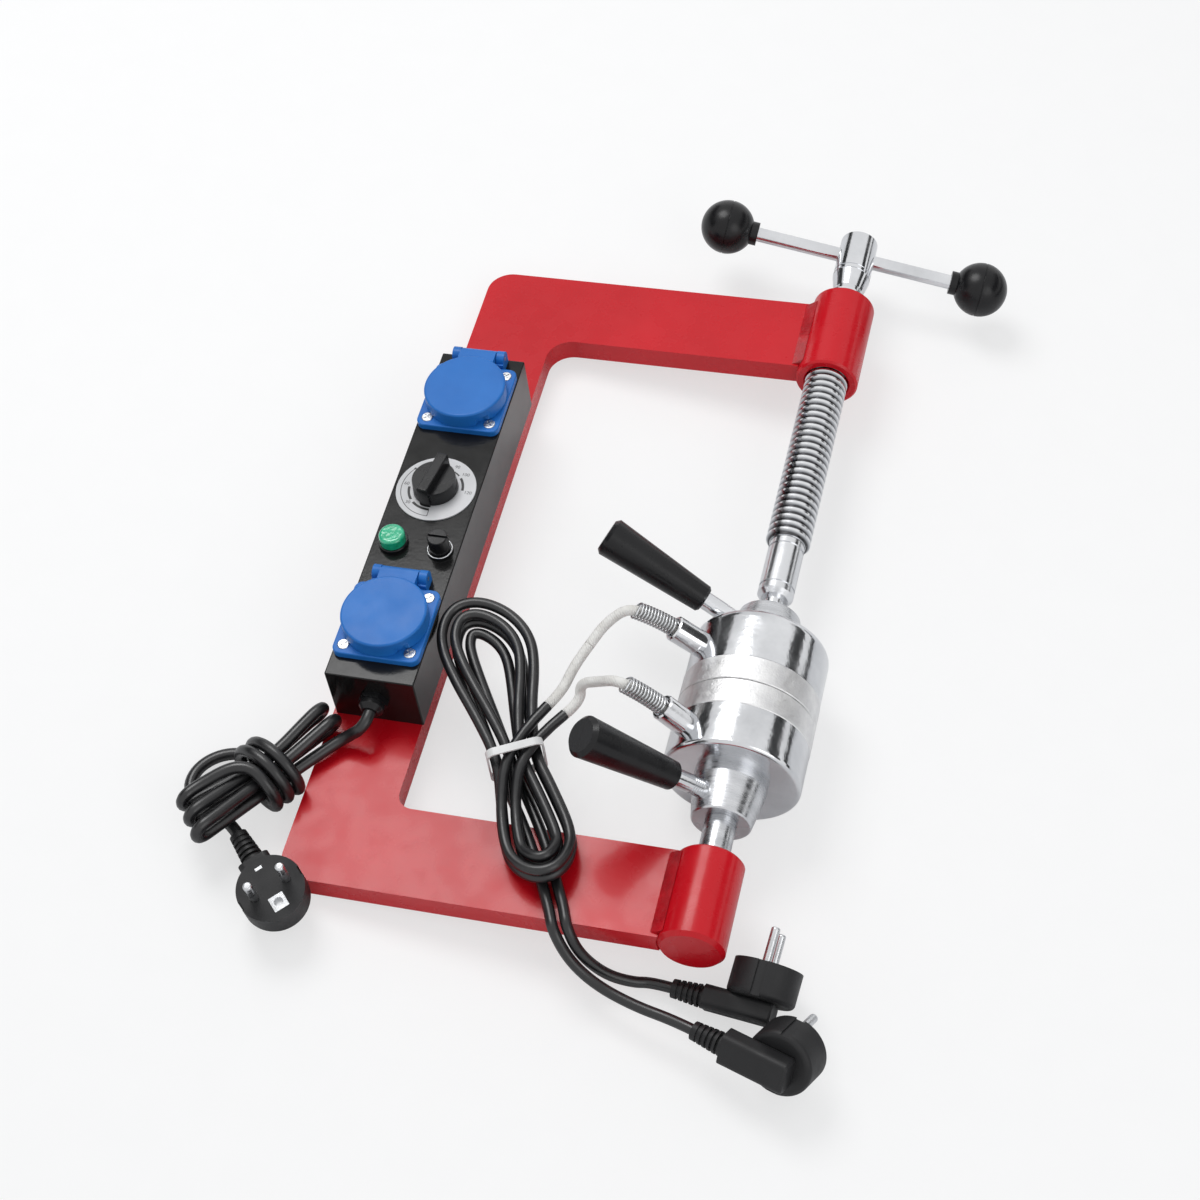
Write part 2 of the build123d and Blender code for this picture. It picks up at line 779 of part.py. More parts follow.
def socket_contacts():
    """Two sleeves and two earth clips in each socket."""
    floor = flange_thickness + collar_ring_height - recess_depth
    pieces = []
    for upper in (False, True):
        for side in (-1, 1):
            sleeve = upright(contact_radius, floor - contact_cover - contact_length, floor - contact_cover)
            sleeve -= upright(contact_bore_radius, floor - contact_cover - contact_length + overrun,
                              floor - contact_cover + overrun)
            pieces.append(socket_place(upper) * Pos(side * contact_spacing / 2, 0, 0) * sleeve)
            clip = Box(earth_clip_width, earth_clip_thickness, earth_clip_length)
            y = side * (recess_radius - earth_clip_thickness / 2)
            clip = Pos(0, y, floor + earth_clip_length / 2 - overrun) * clip
            pieces.append(socket_place(upper) * clip)
    return group(pieces)


def socket_screws():
    """Four screws in each flange, with crossed slots."""
    pieces = []
    base = flange_thickness - socket_screw_head_height / 2
    screw = upright(socket_screw_head_radius, base, base + socket_screw_head_height)
    screw = fillet(screw.edges().sort_by(Axis.Z)[-1], socket_screw_head_height / 2)
    screw += upright(socket_screw_radius, base - socket_screw_length, base)
    for turn in (0, 90):
        slot_length = socket_screw_head_radius * socket_screw_slot_share
        slot = Box(slot_length, socket_screw_slot, socket_screw_head_height)
        screw -= Pos(0, 0, base + socket_screw_head_height) * Rot(0, 0, turn + 45) * slot
    for upper in (False, True):
        for x, y in screw_places():
            pieces.append(socket_place(upper) * Pos(x, y, 0) * screw)
    return group(pieces)


def dial_place():
    return Pos(box_center_x, dial_y, box_top)


def thermostat_body():
    body = Box(thermostat_width, thermostat_width, thermostat_depth)
    body = Pos(0, 0, -box_wall - thermostat_depth / 2) * body
    body += upright(thermostat_bush_radius, -box_wall, dial_thickness)
    bore = upright(shaft_radius + running, -thermostat_depth, dial_thickness + overrun)
    return dial_place() * (body - bore)


def thermostat_shaft():
    return dial_place() * upright(shaft_radius, -thermostat_depth + apart, knob_seat_height)


def dial_plate():
    plate = upright(dial_radius, 0, dial_thickness)
    return dial_place() * (plate - upright(dial_hole_radius, -overrun, overrun))


def thermostat_knob():
    low = dial_thickness + knob_lift
    knob = spun([
        (0, low), (knob_radius, low), (knob_radius - knob_lift, low + knob_base_height),
        (0, low + knob_base_height)])
    blade = block(-knob_blade_width / 2, knob_blade_width / 2, -knob_blade_reach, knob_blade_reach,
                  low, knob_height)
    blade &= upright(knob_blade_reach, low, knob_height)
    knob += fillet(blade.edges().group_by(Axis.Z)[-1], edge_round)
    knob = Rot(0, 0, -knob_turn) * knob
    return dial_place() * (knob - upright(shaft_radius + weld_gap, -overrun, knob_seat_height + weld_gap))


def lamp_place():
    return Pos(box_center_x + lamp_offset_x, lamp_y, box_top)


def lamp_body():
    body = upright(lamp_bezel_radius, 0, lamp_bezel_height)
    body = chamfer(body.edges().sort_by(Axis.Z)[-1], edge_round / 2)
    body += upright(lamp_barrel_radius, -lamp_barrel_depth, 0)
    seat = upright(lamp_lens_radius + weld_gap, lamp_bezel_height / 2, lamp_bezel_height + overrun)
    return lamp_place() * (body - seat)


def lamp_lens():
    low = lamp_bezel_height / 2
    lens = upright(lamp_lens_radius, low, lamp_bezel_height + lamp_lens_height)
    return lamp_place() * fillet(lens.edges().sort_by(Axis.Z)[-1], lamp_lens_round)


def fuse_place():
    return Pos(box_center_x + fuse_offset_x, fuse_y, box_top)


def fuse_holder():
    holder = upright(fuse_ring_radius, 0, fuse_ring_height) + upright(fuse_body_radius, -fuse_body_depth, 0)
    bore = upright(fuse_body_radius - fuse_wall, fuse_wall - fuse_body_depth, fuse_ring_height + overrun)
    return fuse_place() * (holder - bore)


def fuse_cap():
    low = fuse_ring_height + apart
    cap = upright(fuse_cap_radius, low, low + fuse_cap_height)
    cap = fillet(cap.edges().sort_by(Axis.Z)[-1], edge_round)
    cap -= Pos(0, 0, low + fuse_cap_height) * Box(
        2 * fuse_cap_radius + overrun, fuse_cap_slot_width, 2 * fuse_cap_slot_depth)
    return fuse_place() * (cap + upright(fuse_cap_plug_radius, low - fuse_cap_plug_length, low))


def fuse_link():
    bottom = fuse_wall - fuse_body_depth
    top = fuse_ring_height + apart - fuse_cap_plug_length - apart
    return fuse_place() * upright(fuse_link_radius, bottom, top)


def gland_place():
    """The gland's axis, with Z pointing out of the box's end."""
    return Pos(box_center_x, box_start_y, plate_top + gland_height) * Rot(90, 0, 0)


def cable_gland():
    nut = extrude(RegularPolygon(gland_radius, 6), gland_flange_length)
    nut += upright(gland_nose_radius, gland_flange_length, gland_flange_length + gland_nose_length / 2)
    nut += Pos(0, 0, gland_flange_length + gland_nose_length / 2) * Cone(
        gland_nose_radius, gland_mouth_radius, gland_nose_length / 2,
        align=(Align.CENTER, Align.CENTER, Align.MIN))
    nut += upright(gland_thread_radius, -gland_inner_length, 0)
    lock = extrude(RegularPolygon(gland_radius, 6), -gland_flange_length)
    return gland_place() * (nut + Pos(0, 0, -box_wall - apart) * lock)


# Plugs, drawn with the pins along Z, the face at 0 and the arm along X


def plug():
    """An angled plug: a round head with a flat face, and an arm that ends in a ribbed relief."""
    head = upright(plug_radius, -plug_head_height, 0)
    head = fillet(head.edges().sort_by(Axis.Z)[0], plug_back_round)
    for side in (-1, 1):
        head -= Pos(0, side * plug_radius, -plug_head_height / 2) * Box(
            plug_notch_width, 2 * plug_notch_depth, plug_head_height + overrun)
    arm_length = plug_arm_reach + plug_arm_tail
    arm = Box(arm_length, plug_arm_width, plug_arm_height)
    arm = fillet(arm.edges().filter_by(Axis.X), plug_arm_round)
    arm = chamfer(arm.edges().group_by(Axis.X)[0], plug_arm_chamfer)
    arm = Pos(plug_arm_reach - arm_length / 2, 0, -plug_arm_depth) * arm
    relief = spun([
        (0, -overrun), (relief_radius, -overrun), (relief_radius, relief_length / 6),
        (relief_end_radius, relief_length), (0, relief_length)])
    step = relief_length / (relief_ribs + 1)
    for rib in range(relief_ribs):
        z = (rib + 0.5) * step
        relief -= upright(relief_radius + overrun, z, z + step / 2) - upright(
            relief_end_radius - relief_groove_depth, z, z + step / 2)
    body = head + arm + Pos(plug_arm_reach, 0, -plug_arm_depth) * Rot(0, 90, 0) * relief
    for side in (-1, 1):
        body -= Pos(0, side * contact_spacing / 2, 0) * upright(
            plug_pin_root_radius + weld_gap, -plug_pin_seat - weld_gap, overrun)
    for offset, length, width in ((-earth_hole_offset, earth_frame_size, earth_frame_size),
                                  (plug_clip_offset, plug_clip_thickness, earth_clip_width)):
        depth = 2 * earth_frame_depth
        body -= Pos(offset, 0, 0) * Box(length + 2 * weld_gap, width + 2 * weld_gap, depth + 2 * weld_gap)
    return body


def plug_metal():
    """Two pins, the earth contact's frame and the earth clip."""
    pieces = []
    for side in (-1, 1):
        pin = upright(plug_pin_radius, plug_pin_root_showing, plug_pin_length)
        pin = fillet(pin.edges().sort_by(Axis.Z)[-1], plug_pin_radius / 2)
        pin += upright(plug_pin_root_radius, -plug_pin_seat, plug_pin_root_showing)
        pieces.append(Pos(0, side * contact_spacing / 2, 0) * pin)
    frame = Pos(0, 0, -earth_frame_depth / 2) * Box(earth_frame_size, earth_frame_size, earth_frame_depth)
    frame -= upright(contact_bore_radius, -earth_frame_depth / 2, overrun)
    pieces.append(Pos(-earth_hole_offset, 0, 0) * frame)
    clip = Box(plug_clip_thickness, earth_clip_width, earth_frame_depth)
    pieces.append(Pos(plug_clip_offset, 0, -earth_frame_depth / 2) * clip)
    return pieces


def relief_end():
    """Where a plug's cord leaves it, in the plug's own place."""
    return Vector(plug_arm_reach + relief_length, 0, -plug_arm_depth)

# Wound and coiled forms


def smooth_path(points, first=None, last=None):
    """Pairs of tangent arcs through points; the way at a point runs from the one before to the one after."""
    points = [Vector(*point) for point in points]
    ways = []
    for i in range(len(points)):
        before = points[max(i - 1, 0)]
        after = points[min(i + 1, len(points) - 1)]
        ways.append((after - before).normalized())
    if first:
        ways[0] = Vector(*first).normalized()
    if last:
        ways[-1] = Vector(*last).normalized()
    edges = []
    for a, b, way_a, way_b in zip(points, points[1:], ways, ways[1:]):
        edges += arc_pair(a, b, way_a, way_b)
    return edges


def arc_pair(a, b, way_a, way_b):
    """Two arcs that leave a along way_a, meet tangent to each other and reach b along way_b."""
    chord = b - a
    both = way_a + way_b
    spread = 2 * (1 - way_a.dot(way_b))
    if spread < flat_turn:
        reach = chord.dot(chord) / (4 * chord.dot(way_b))
    else:
        along = chord.dot(both)
        reach = (math.sqrt(along ** 2 + spread * chord.dot(chord)) - along) / spread
    middle = (a + b + (way_a - way_b) * reach) * 0.5
    way_middle = (b - way_b * reach) - (a + way_a * reach)
    return [joined(a, middle, way_a), joined(middle, b, way_middle.normalized())]


def joined(a, b, way):
    """An arc from a to b that leaves along way, or a line where it hardly turns."""
    if math.sin(math.radians(way.get_angle(b - a))) < flat_turn:
        return Line(a, b)
    return TangentArc(a, b, tangent=way)


def tube(edges, radius):
    """A round tube swept along edges that follow one another."""
    path = Wire(edges)
    section = Plane(origin=path @ 0, z_dir=path % 0) * Circle(radius)
    return sweep(section, path=path)


def path_points(edges, step):
    """Points along the edges, each with its distance from the start."""
    points = []
    travelled = 0
    for edge in edges:
        count = max(2, math.ceil(edge.length / step))
        for i in range(count):
            points.append((travelled + edge.length * i / count, edge @ (i / count)))
        travelled += edge.length
    return points


def least_gap(points, others, radius, other_radius, skip):
    """The least space between tubes along two lists of points, skipping what is near along one tube."""
    least = math.inf
    for far, point in points:
        for other_far, other in others:
            if skip and abs(other_far - far) < skip:
                continue
            least = min(least, (other - point).length)
    return least - radius - other_radius


def hank_point(u, v, level):
    """A place in the heater hank: u down its axis, v to its right, level in layers."""
    turn = math.radians(hank_turn)
    x = hank_waist_x + u * math.cos(turn) + v * math.sin(turn)
    y = hank_waist_y - u * math.sin(turn) + v * math.cos(turn)
    low = plate_top + hank_clearance + lead_radius
    z = low + (hank_lower_reach - u) * hank_rise_share + level * hank_layer
    return Vector(x, y, z)


def hank_nodes(strand):
    """Places along one heater lead: in over the waist, twice round, and out under the lower loops."""
    lane = strand * hank_lane
    beside = (strand - 0.5) * hank_lane
    nodes = [
        hank_point(-hank_entry + beside, hank_waist_half + hank_entry + beside, 2),
        hank_point(beside / 2, beside, hank_cross_share)]
    for loop in (0, 1):
        level = 1 - loop
        low = hank_lower_half - lane
        high = hank_upper_half - lane - loop * hank_lane
        waist = hank_waist_half - lane
        top = hank_upper_reach - lane - loop * hank_lane
        nodes += [
            hank_point(hank_lower_extreme, -low, level),
            hank_point(hank_lower_reach - lane, 0, level + 1),
            hank_point(hank_lower_extreme, low, level),
            hank_point(0, waist, level),
            hank_point(-hank_upper_extreme + hank_slant, high, level),
            hank_point(-top, -hank_slant / 2, level),
            hank_point(-hank_upper_extreme - hank_slant, -high, level),
            hank_point(0, -waist, level - loop)]
    nodes += [
        hank_point(hank_lower_extreme, beside, -hank_tail_drop_share),
        hank_point(hank_lower_reach + hank_layer, beside, hank_tail_drop_share / 4)]
    return nodes


def tied_point(u, v, z):
    """A place in the tied supply hank: u down its axis, v across it, z above the table."""
    turn = math.radians(tied_turn)
    x = tied_x - u * math.cos(turn) + v * math.sin(turn)
    y = tied_y - u * math.sin(turn) - v * math.cos(turn)
    return Vector(x, y, z)


def wrap_point(angle):
    """A place on the wraps that hold the supply hank, by the angle wound so far."""
    turn = math.radians(tied_wrap_start - angle)
    u = tied_wrap_u - tied_wrap_pitch * angle / 360
    v = tied_wrap_half_width * math.cos(turn)
    return tied_point(u, v, tied_z + tied_wrap_half_height * math.sin(turn))


def tied_nodes(end, way):
    """Places along the supply hank: three long loops, three wraps round them, a wide loop, the plug."""
    nodes = [tied_point(-tied_start, tied_pitch + cord_radius, tied_z)]
    for finger in range(3):
        lane = (1 - finger) * tied_pitch
        reach = tied_left_reach - finger * cord_radius
        fan = tied_pitch - finger * tied_fan
        nodes += [
            tied_point(0, lane, tied_z - tied_row / 2),
            tied_point(reach - tied_bend, fan, tied_finger_z - tied_bend),
            tied_point(reach, fan, tied_finger_z),
            tied_point(reach - tied_bend, fan, tied_finger_z + tied_bend)]
        if finger < 2:
            back = tied_bight_v - finger * tied_bight_step
            nodes += [
                tied_point(0, lane - tied_pitch / 2, tied_z + tied_row / 2),
                tied_point(tied_bend - tied_right_reach, back, tied_bight_z + tied_bend),
                tied_point(-tied_right_reach, back - cord_radius / 2, tied_bight_z),
                tied_point(tied_bend - tied_right_reach, back - cord_radius, tied_bight_z - tied_bend)]
    above = tied_z + tied_wrap_half_height
    nodes += [tied_point(tied_wrap_u + tied_pitch, -tied_climb_share * tied_pitch, above)]
    nodes += [wrap_point(90 * quarter) for quarter in range(tied_wrap_quarters + 1)]
    nodes += [
        tied_point(-3, -22, 4.4), tied_point(9, -35, 4), tied_point(25, -38, 3.8), tied_point(38, -31, 3.8),
        tied_point(41, -16, 4.8)]
    return nodes + [end]


def cord_edges(points):
    """Straight runs joined by arcs as large as the runs allow."""
    points = [Vector(*point) for point in points]
    runs = [b - a for a, b in zip(points, points[1:])]
    radii = []
    for before, after in zip(runs, runs[1:]):
        half = math.radians(before.get_angle(after)) / 2
        radii.append(bend_share * min(before.length, after.length) / math.tan(half))
    print("   cord radii", [round(radius, 1) for radius in radii])
    return FilletPolyline(*points, radius=radii).edges()


def sag_at(upper, share):
    """How far the spring and its sleeve hang aside at a share of the spring's length."""
    sag = spring_droop * share ** 2
    return (0, -sag) if upper else (-sag * lower_sag_share, -sag * (1 - lower_sag_share))


def spring(upper):
    """A helix with a straight foot on the ferrule's counterbore that hangs aside at its free end."""
    wire = 2 * spring_wire_radius
    foot = inlet_end - spring_seat_length
    close = spring_close_pitch
    spread = (spring_length - 2 * wire - spring_curls * close) / spring_curls ** 2
    points = []
    for quarter in range(4 * spring_curls + 1):
        curls = quarter / 4
        rise = 2 * wire + curls * close + spread * curls ** 2
        sag_x, sag_y = sag_at(upper, rise / spring_length)
        turn = math.radians(90 * quarter)
        x = spring_coil_radius * math.cos(turn) + sag_x
        y = spring_coil_radius * math.sin(turn) + sag_y
        points.append((x, y, foot + rise + spring_wire_radius))
    start = Vector(spring_coil_radius, 0, foot)
    edges = [Line(start, start + Vector(0, 0, wire))]
    edges += smooth_path([start + Vector(0, 0, wire)] + points[1:], first=(0, 0, 1))
    end = edges[-1]
    edges.append(Line(end @ 1, end @ 1 + (end % 1) * wire))
    points = path_points(edges, wire / 2)
    skip = 4 * spring_coil_radius
    print("   spring gap", round(least_gap(points, points, spring_wire_radius, spring_wire_radius, skip), 2))
    return inlet_place(upper) * tube(edges, spring_wire_radius)


# The machine's lie on the table: its round cases and the spine's lower edge touch it
spine_reach = math.hypot(throat + spine_width, plate_thickness / 2)
spine_slope = math.atan2(plate_thickness / 2, throat + spine_width)
lean = math.degrees(math.asin(plate_radius / spine_reach) - spine_slope)
laid = Pos(0, 0, plate_radius) * Rot(0, -lean, 0)


def on_table(point):
    """A place of the machine in the table's axes."""
    return (laid * Pos(*point)).position


def way_on_table(before, after):
    return (on_table(after) - on_table(before)).normalized()


# Heater leads


def sleeve(upper):
    """The white sleeve from the ferrule through its spring to the hank."""
    foot = inlet_end - spring_seat_length
    place = inlet_place(upper)
    inside = (place * Pos(0, 0, foot)).position
    held = (place * Pos(0, 0, foot + spring_length * sleeve_shares[0])).position
    within = [
        (place * Pos(*sag_at(upper, share), foot + spring_length * share)).position
        for share in sleeve_shares[1:]]
    entry, waist = hank_nodes(0 if upper else 1)[:2]
    back = entry + (entry - waist).normalized() * sleeve_radius * 4
    bends = upper_sleeve_route if upper else lower_sleeve_route
    edges = cord_edges([inside, held] + within + bends + [back, entry])
    return tube(edges, sleeve_radius)


def heater_hank(strand):
    edges = smooth_path(hank_nodes(strand))
    points = path_points(edges, point_step)
    gap = least_gap(points, points, lead_radius, lead_radius, 8 * lead_radius)
    print("   heater hank gap", round(gap, 2), "length", round(points[-1][0]))
    return tube(edges, lead_radius)


def hank_tail(strand):
    before, start = hank_nodes(strand)[-2:]
    start_way = way_on_table(before, start)
    start = on_table(start)
    end, way = plug_cord(strand)
    route = [start, start + start_way * lead_radius * 3] + tail_routes[strand]
    edges = cord_edges(route + [end + way * lead_radius * 4, end])
    print("   tail length", round(sum(edge.length for edge in edges)))
    return tube(edges, lead_radius)


def cable_tie():
    """A flat band round the waist with its square lock on top."""
    low = -hank_layer - lead_radius - tie_clearance
    high = hank_cross_share * hank_layer + lead_radius + tie_clearance
    width = 2 * (hank_waist_half + lead_radius + tie_clearance)
    inner = RectangleRounded(width, high - low, tie_corner)
    walls = 2 * tie_thickness
    outer = RectangleRounded(width + walls, high - low + walls, tie_corner + tie_thickness)
    band = extrude(outer - inner, tie_width / 2, both=True)
    lock = Pos(hank_lane / 2, (high - low) / 2 + tie_thickness + tie_head_height / 2 - weld_gap, 0) * Box(
        tie_head_length, tie_head_height, tie_head_length)
    middle = (high + low) / 2
    center = hank_point(0, 0, middle / hank_layer)
    across = hank_point(0, 1, 0) - hank_point(0, 0, 0)
    down = hank_point(1, 0, 0) - hank_point(0, 0, 0)
    return Location(Plane(origin=center, x_dir=across, z_dir=-down)) * (band + lock)


# Plugs where they lie, in the table's axes


def plug_place(which):
    end, pins, arm = plug_lies[which]
    return Location(Plane(origin=end, x_dir=arm, z_dir=pins)) * Pos(*(-relief_end()))


def plug_cord(which):
    """Where a plug's cord leaves it, and the way it leaves."""
    end, pins, arm = plug_lies[which]
    return end, Plane(origin=end, x_dir=arm, z_dir=pins).x_dir


# The supply cord's way from the gland to its hank, the leads' tails and the plugs' lies, chosen by
# hand from the photograph: sleeves in the machine's axes, the rest in the table's
upper_sleeve_route = [Vector(-78, 161, 50), Vector(-85, 148, 45), Vector(-91, 135, 41)]
lower_sleeve_route = [Vector(-72, 121, 52), Vector(-84, 123, 45)]
tail_routes = {
    0: [Vector(-71, -8, 39.5), Vector(-60, -16, 27), Vector(-44, -22, 18.5), Vector(-22, -29, 19.5)],
    1: [Vector(-64.5, -5, 40.5), Vector(-56, -11, 27), Vector(-41, -13, 14.5), Vector(-26, -11, 9)]}
plug_lies = {
    0: (Vector(10.5, -37.1, 24.5), Vector(0.357, 0.805, -0.474), Vector(-0.934, 0.317, -0.164)),
    1: (Vector(-5.4, -9.3, 9.5), Vector(0.061, 0.940, 0.336), Vector(-0.979, 0.123, -0.165)),
    2: (Vector(-251.2, 19.0, 12.6), Vector(-0.073, -0.190, 0.979), Vector(-0.720, 0.690, 0.080))}


def supply_cord():
    mouth = (laid * gland_place() * Pos(0, 0, gland_flange_length + gland_nose_length)).position
    before = (laid * gland_place()).position
    start, way = tied_entry()
    edges = smooth_path([mouth, start], first=mouth - before, last=way)
    print("   supply cord radii", [round(edge.radius, 1) for edge in edges], "length", round(
        sum(edge.length for edge in edges)))
    return tube(edges, cord_radius)


def tied_entry():
    nodes = tied_nodes(*plug_cord(2))
    return nodes[0], (nodes[1] - nodes[0]).normalized()


def supply_hank():
    end, way = plug_cord(2)
    edges = smooth_path(tied_nodes(end, way), first=tied_entry()[1], last=-way)
    points = path_points(edges, point_step)
    gap = least_gap(points, points, cord_radius, cord_radius, 4.5 * cord_radius)
    print("   supply hank gap", round(gap, 2), "length", round(points[-1][0]))
    return tube(edges, cord_radius)


def plug_pins():
    return group([plug_place(which) * piece for which in plug_lies for piece in plug_metal()])


# Every piece, first those of the machine and then those that lie on the table

machine = {
    "frame_plate": frame_plate(),
    "upper_boss": upper_boss(),
    "lower_boss": lower_boss(),
    "weld_beads": weld_beads(),
    "lower_post": lower_post(),
    "feed_screw": feed_screw(),
    "thrust_pad": thrust_pad(),
    "tee_head": tee_head(),
    "tommy_bar": tommy_bar(),
    "left_ball_knob": ball_knob(-1),
    "right_ball_knob": ball_knob(1),
    "upper_collar": upper_collar(),
    "lower_collar": lower_collar(),
    "control_box": control_box(),
    "lid_pins": lid_pins(),
    "socket_contacts": socket_contacts(),
    "socket_screws": socket_screws(),
    "thermostat_body": thermostat_body(),
    "thermostat_shaft": thermostat_shaft(),
    "dial_plate": dial_plate(),
    "thermostat_knob": thermostat_knob(),
    "lamp_body": lamp_body(),
    "lamp_lens": lamp_lens(),
    "fuse_holder": fuse_holder(),
    "fuse_cap": fuse_cap(),
    "fuse_link": fuse_link(),
    "cable_gland": cable_gland()}
for side, upper in (("lower", False), ("upper", True)):
    machine[side + "_handle_stem"] = handle_stem(upper)
    machine[side + "_handle_grip"] = handle_grip(upper)
    machine[side + "_case"] = case(upper)
    machine[side + "_heating_plate"] = heating_plate(upper)
    machine[side + "_heating_element"] = heating_element(upper)
    machine[side + "_insulation"] = insulation(upper)
    machine[side + "_inlet"] = inlet(upper)
    machine[side + "_spring"] = spring(upper)
    machine[side + "_socket"] = socket(upper)
    machine[side + "_socket_lid"] = lid(upper)

leads = {
    "upper_sleeve": sleeve(True),
    "lower_sleeve": sleeve(False),
    "heater_hank_0": heater_hank(0),
    "heater_hank_1": heater_hank(1),
    "cable_tie": cable_tie()}

loose = {
    "heater_tail_0": hank_tail(0),
    "heater_tail_1": hank_tail(1),
    "heater_plug_0": plug_place(0) * plug(),
    "heater_plug_1": plug_place(1) * plug(),
    "supply_cord": supply_cord(),
    "supply_hank": supply_hank(),
    "supply_plug": plug_place(2) * plug(),
    "plug_pins": plug_pins()}

solid_parts = {name: laid * shape for name, shape in machine.items()}
extents = [shape.bounding_box() for shape in solid_parts.values()]
low = [min(extent.min.X for extent in extents), min(extent.min.Y for extent in extents)]
high = [max(extent.max.X for extent in extents), max(extent.max.Y for extent in extents)]
stand = Pos(-(low[0] + high[0]) / 2, -(low[1] + high[1]) / 2, 0)

os.makedirs("parts", exist_ok=True)
for name, shape in solid_parts.items():
    export_step(stand * shape, "parts/" + name + ".step")
for name, shape in leads.items():
    export_step(stand * laid * shape, "parts/" + name + ".step")
for name, shape in loose.items():
    export_step(stand * shape, "parts/" + name + ".step")
print("stand", stand.position, "lean", lean)
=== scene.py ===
import math

import bmesh
import bpy
from mathutils import Matrix, Vector


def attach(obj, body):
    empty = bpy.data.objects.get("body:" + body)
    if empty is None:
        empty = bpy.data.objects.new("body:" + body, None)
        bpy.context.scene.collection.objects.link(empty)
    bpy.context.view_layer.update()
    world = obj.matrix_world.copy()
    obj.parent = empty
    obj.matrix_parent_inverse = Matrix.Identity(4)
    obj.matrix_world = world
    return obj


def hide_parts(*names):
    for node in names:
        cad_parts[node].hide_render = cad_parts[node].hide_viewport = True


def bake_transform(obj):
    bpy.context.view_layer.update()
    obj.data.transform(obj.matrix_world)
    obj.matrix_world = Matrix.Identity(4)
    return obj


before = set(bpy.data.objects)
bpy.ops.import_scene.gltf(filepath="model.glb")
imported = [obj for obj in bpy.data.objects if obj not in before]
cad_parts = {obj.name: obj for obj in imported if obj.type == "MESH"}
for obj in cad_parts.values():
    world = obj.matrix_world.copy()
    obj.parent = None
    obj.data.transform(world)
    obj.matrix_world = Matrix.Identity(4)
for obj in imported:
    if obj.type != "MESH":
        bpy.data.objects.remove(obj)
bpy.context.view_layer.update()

scene = bpy.context.scene

# Places. The machine lies on the table, so its own axes lean against the row's.

LEAN = math.radians(8.055288667878061)
STAND = Vector((0.0654421, -0.259798, 0.0))
SCREW_HEIGHT = 0.0386
MACHINE = Matrix.Translation(STAND + Vector((0.0, 0.0, SCREW_HEIGHT))) @ Matrix.Rotation(-LEAN, 4, "Y")
MM = 0.001


def on_machine(x, y, z):
    """A point of the machine's axes, in millimetres, in the row frame."""
    return MACHINE @ (Vector((x, y, z)) * MM)


def on_table(x, y, z):
    """A point of the table's axes, in millimetres, in the row frame."""
    return STAND + Vector((x, y, z)) * MM


# Materials. Colours are dark and light ends of a noise, distances are in metres.

SPREAD = (0.3, 0.7)
STRAND_TURN = 45.0
TIP_RADIUS, SCREW_RADIUS = 0.0100, 0.0130


class Looks:
    """The nodes of one material, with its shader as start."""

    def __init__(self, name):
        self.material = bpy.data.materials.new(name)
        self.material.use_nodes = True
        self.tree = self.material.node_tree
        self.shader = self.tree.nodes["Principled BSDF"]
        self.coords = self.node("ShaderNodeTexCoord")
        self.height = None

    def node(self, kind, **values):
        made = self.tree.nodes.new(kind)
        for key, value in values.items():
            if key in made.inputs:
                made.inputs[key].default_value = value
            else:
                setattr(made, key, value)
        return made

    def join(self, out, into):
        self.tree.links.new(out, into)

    def set(self, **values):
        for key, value in values.items():
            self.shader.inputs[key.replace("_", " ")].default_value = value

    def stretched(self, scale):
        mapping = self.node("ShaderNodeMapping")
        mapping.inputs["Scale"].default_value = scale
        self.join(self.coords.outputs["Object"], mapping.inputs["Vector"])
        return mapping.outputs["Vector"]

    def noise(self, scale, detail=4.0, rough=0.55, stretch=None):
        made = self.node("ShaderNodeTexNoise", Scale=scale, Detail=detail, Roughness=rough)
        vector = self.stretched(stretch) if stretch else self.coords.outputs["Object"]
        self.join(vector, made.inputs["Vector"])
        return made.outputs["Fac"]

    def ramp(self, value, stops):
        made = self.node("ShaderNodeValToRGB")
        elements = made.color_ramp.elements
        for element, (place, color) in zip(elements, (stops[0], stops[-1])):
            element.position = place
            element.color = tuple(color) + (1.0,)
        for place, color in stops[1:-1]:
            elements.new(place).color = tuple(color) + (1.0,)
        self.join(value, made.inputs["Fac"])
        return made.outputs["Color"]

    def between(self, value, low, high, start=0.0, end=1.0):
        made = self.node("ShaderNodeMapRange")
        for key, number in (("From Min", start), ("From Max", end), ("To Min", low), ("To Max", high)):
            made.inputs[key].default_value = number
        self.join(value, made.inputs["Value"])
        return made.outputs["Result"]

    def bump(self, value, strength, distance):
        made = self.node("ShaderNodeBump", Strength=strength, Distance=distance)
        self.join(value, made.inputs["Height"])
        if self.height:
            self.join(self.height, made.inputs["Normal"])
        self.height = made.outputs["Normal"]
        self.join(self.height, self.shader.inputs["Normal"])

    def color(self, output):
        self.join(output, self.shader.inputs["Base Color"])

    def roughness(self, output):
        self.join(output, self.shader.inputs["Roughness"])


def enamel():
    """Thick glossy red paint with a faint orange peel."""
    looks = Looks("frame_red")
    looks.set(Coat_Weight=0.12, Coat_Roughness=0.08, Specular_IOR_Level=0.28)
    looks.color(looks.ramp(looks.noise(9.0, 5.0), (
        (0.3, (0.50, 0.003, 0.009)), (0.7, (0.62, 0.005, 0.014)))))
    looks.roughness(looks.between(looks.noise(60.0, 6.0), 0.20, 0.36, *SPREAD))
    looks.bump(looks.noise(240.0, 2.0), 0.10, 0.0006)
    looks.bump(looks.noise(38.0, 3.0), 0.05, 0.0012)
    return looks.material


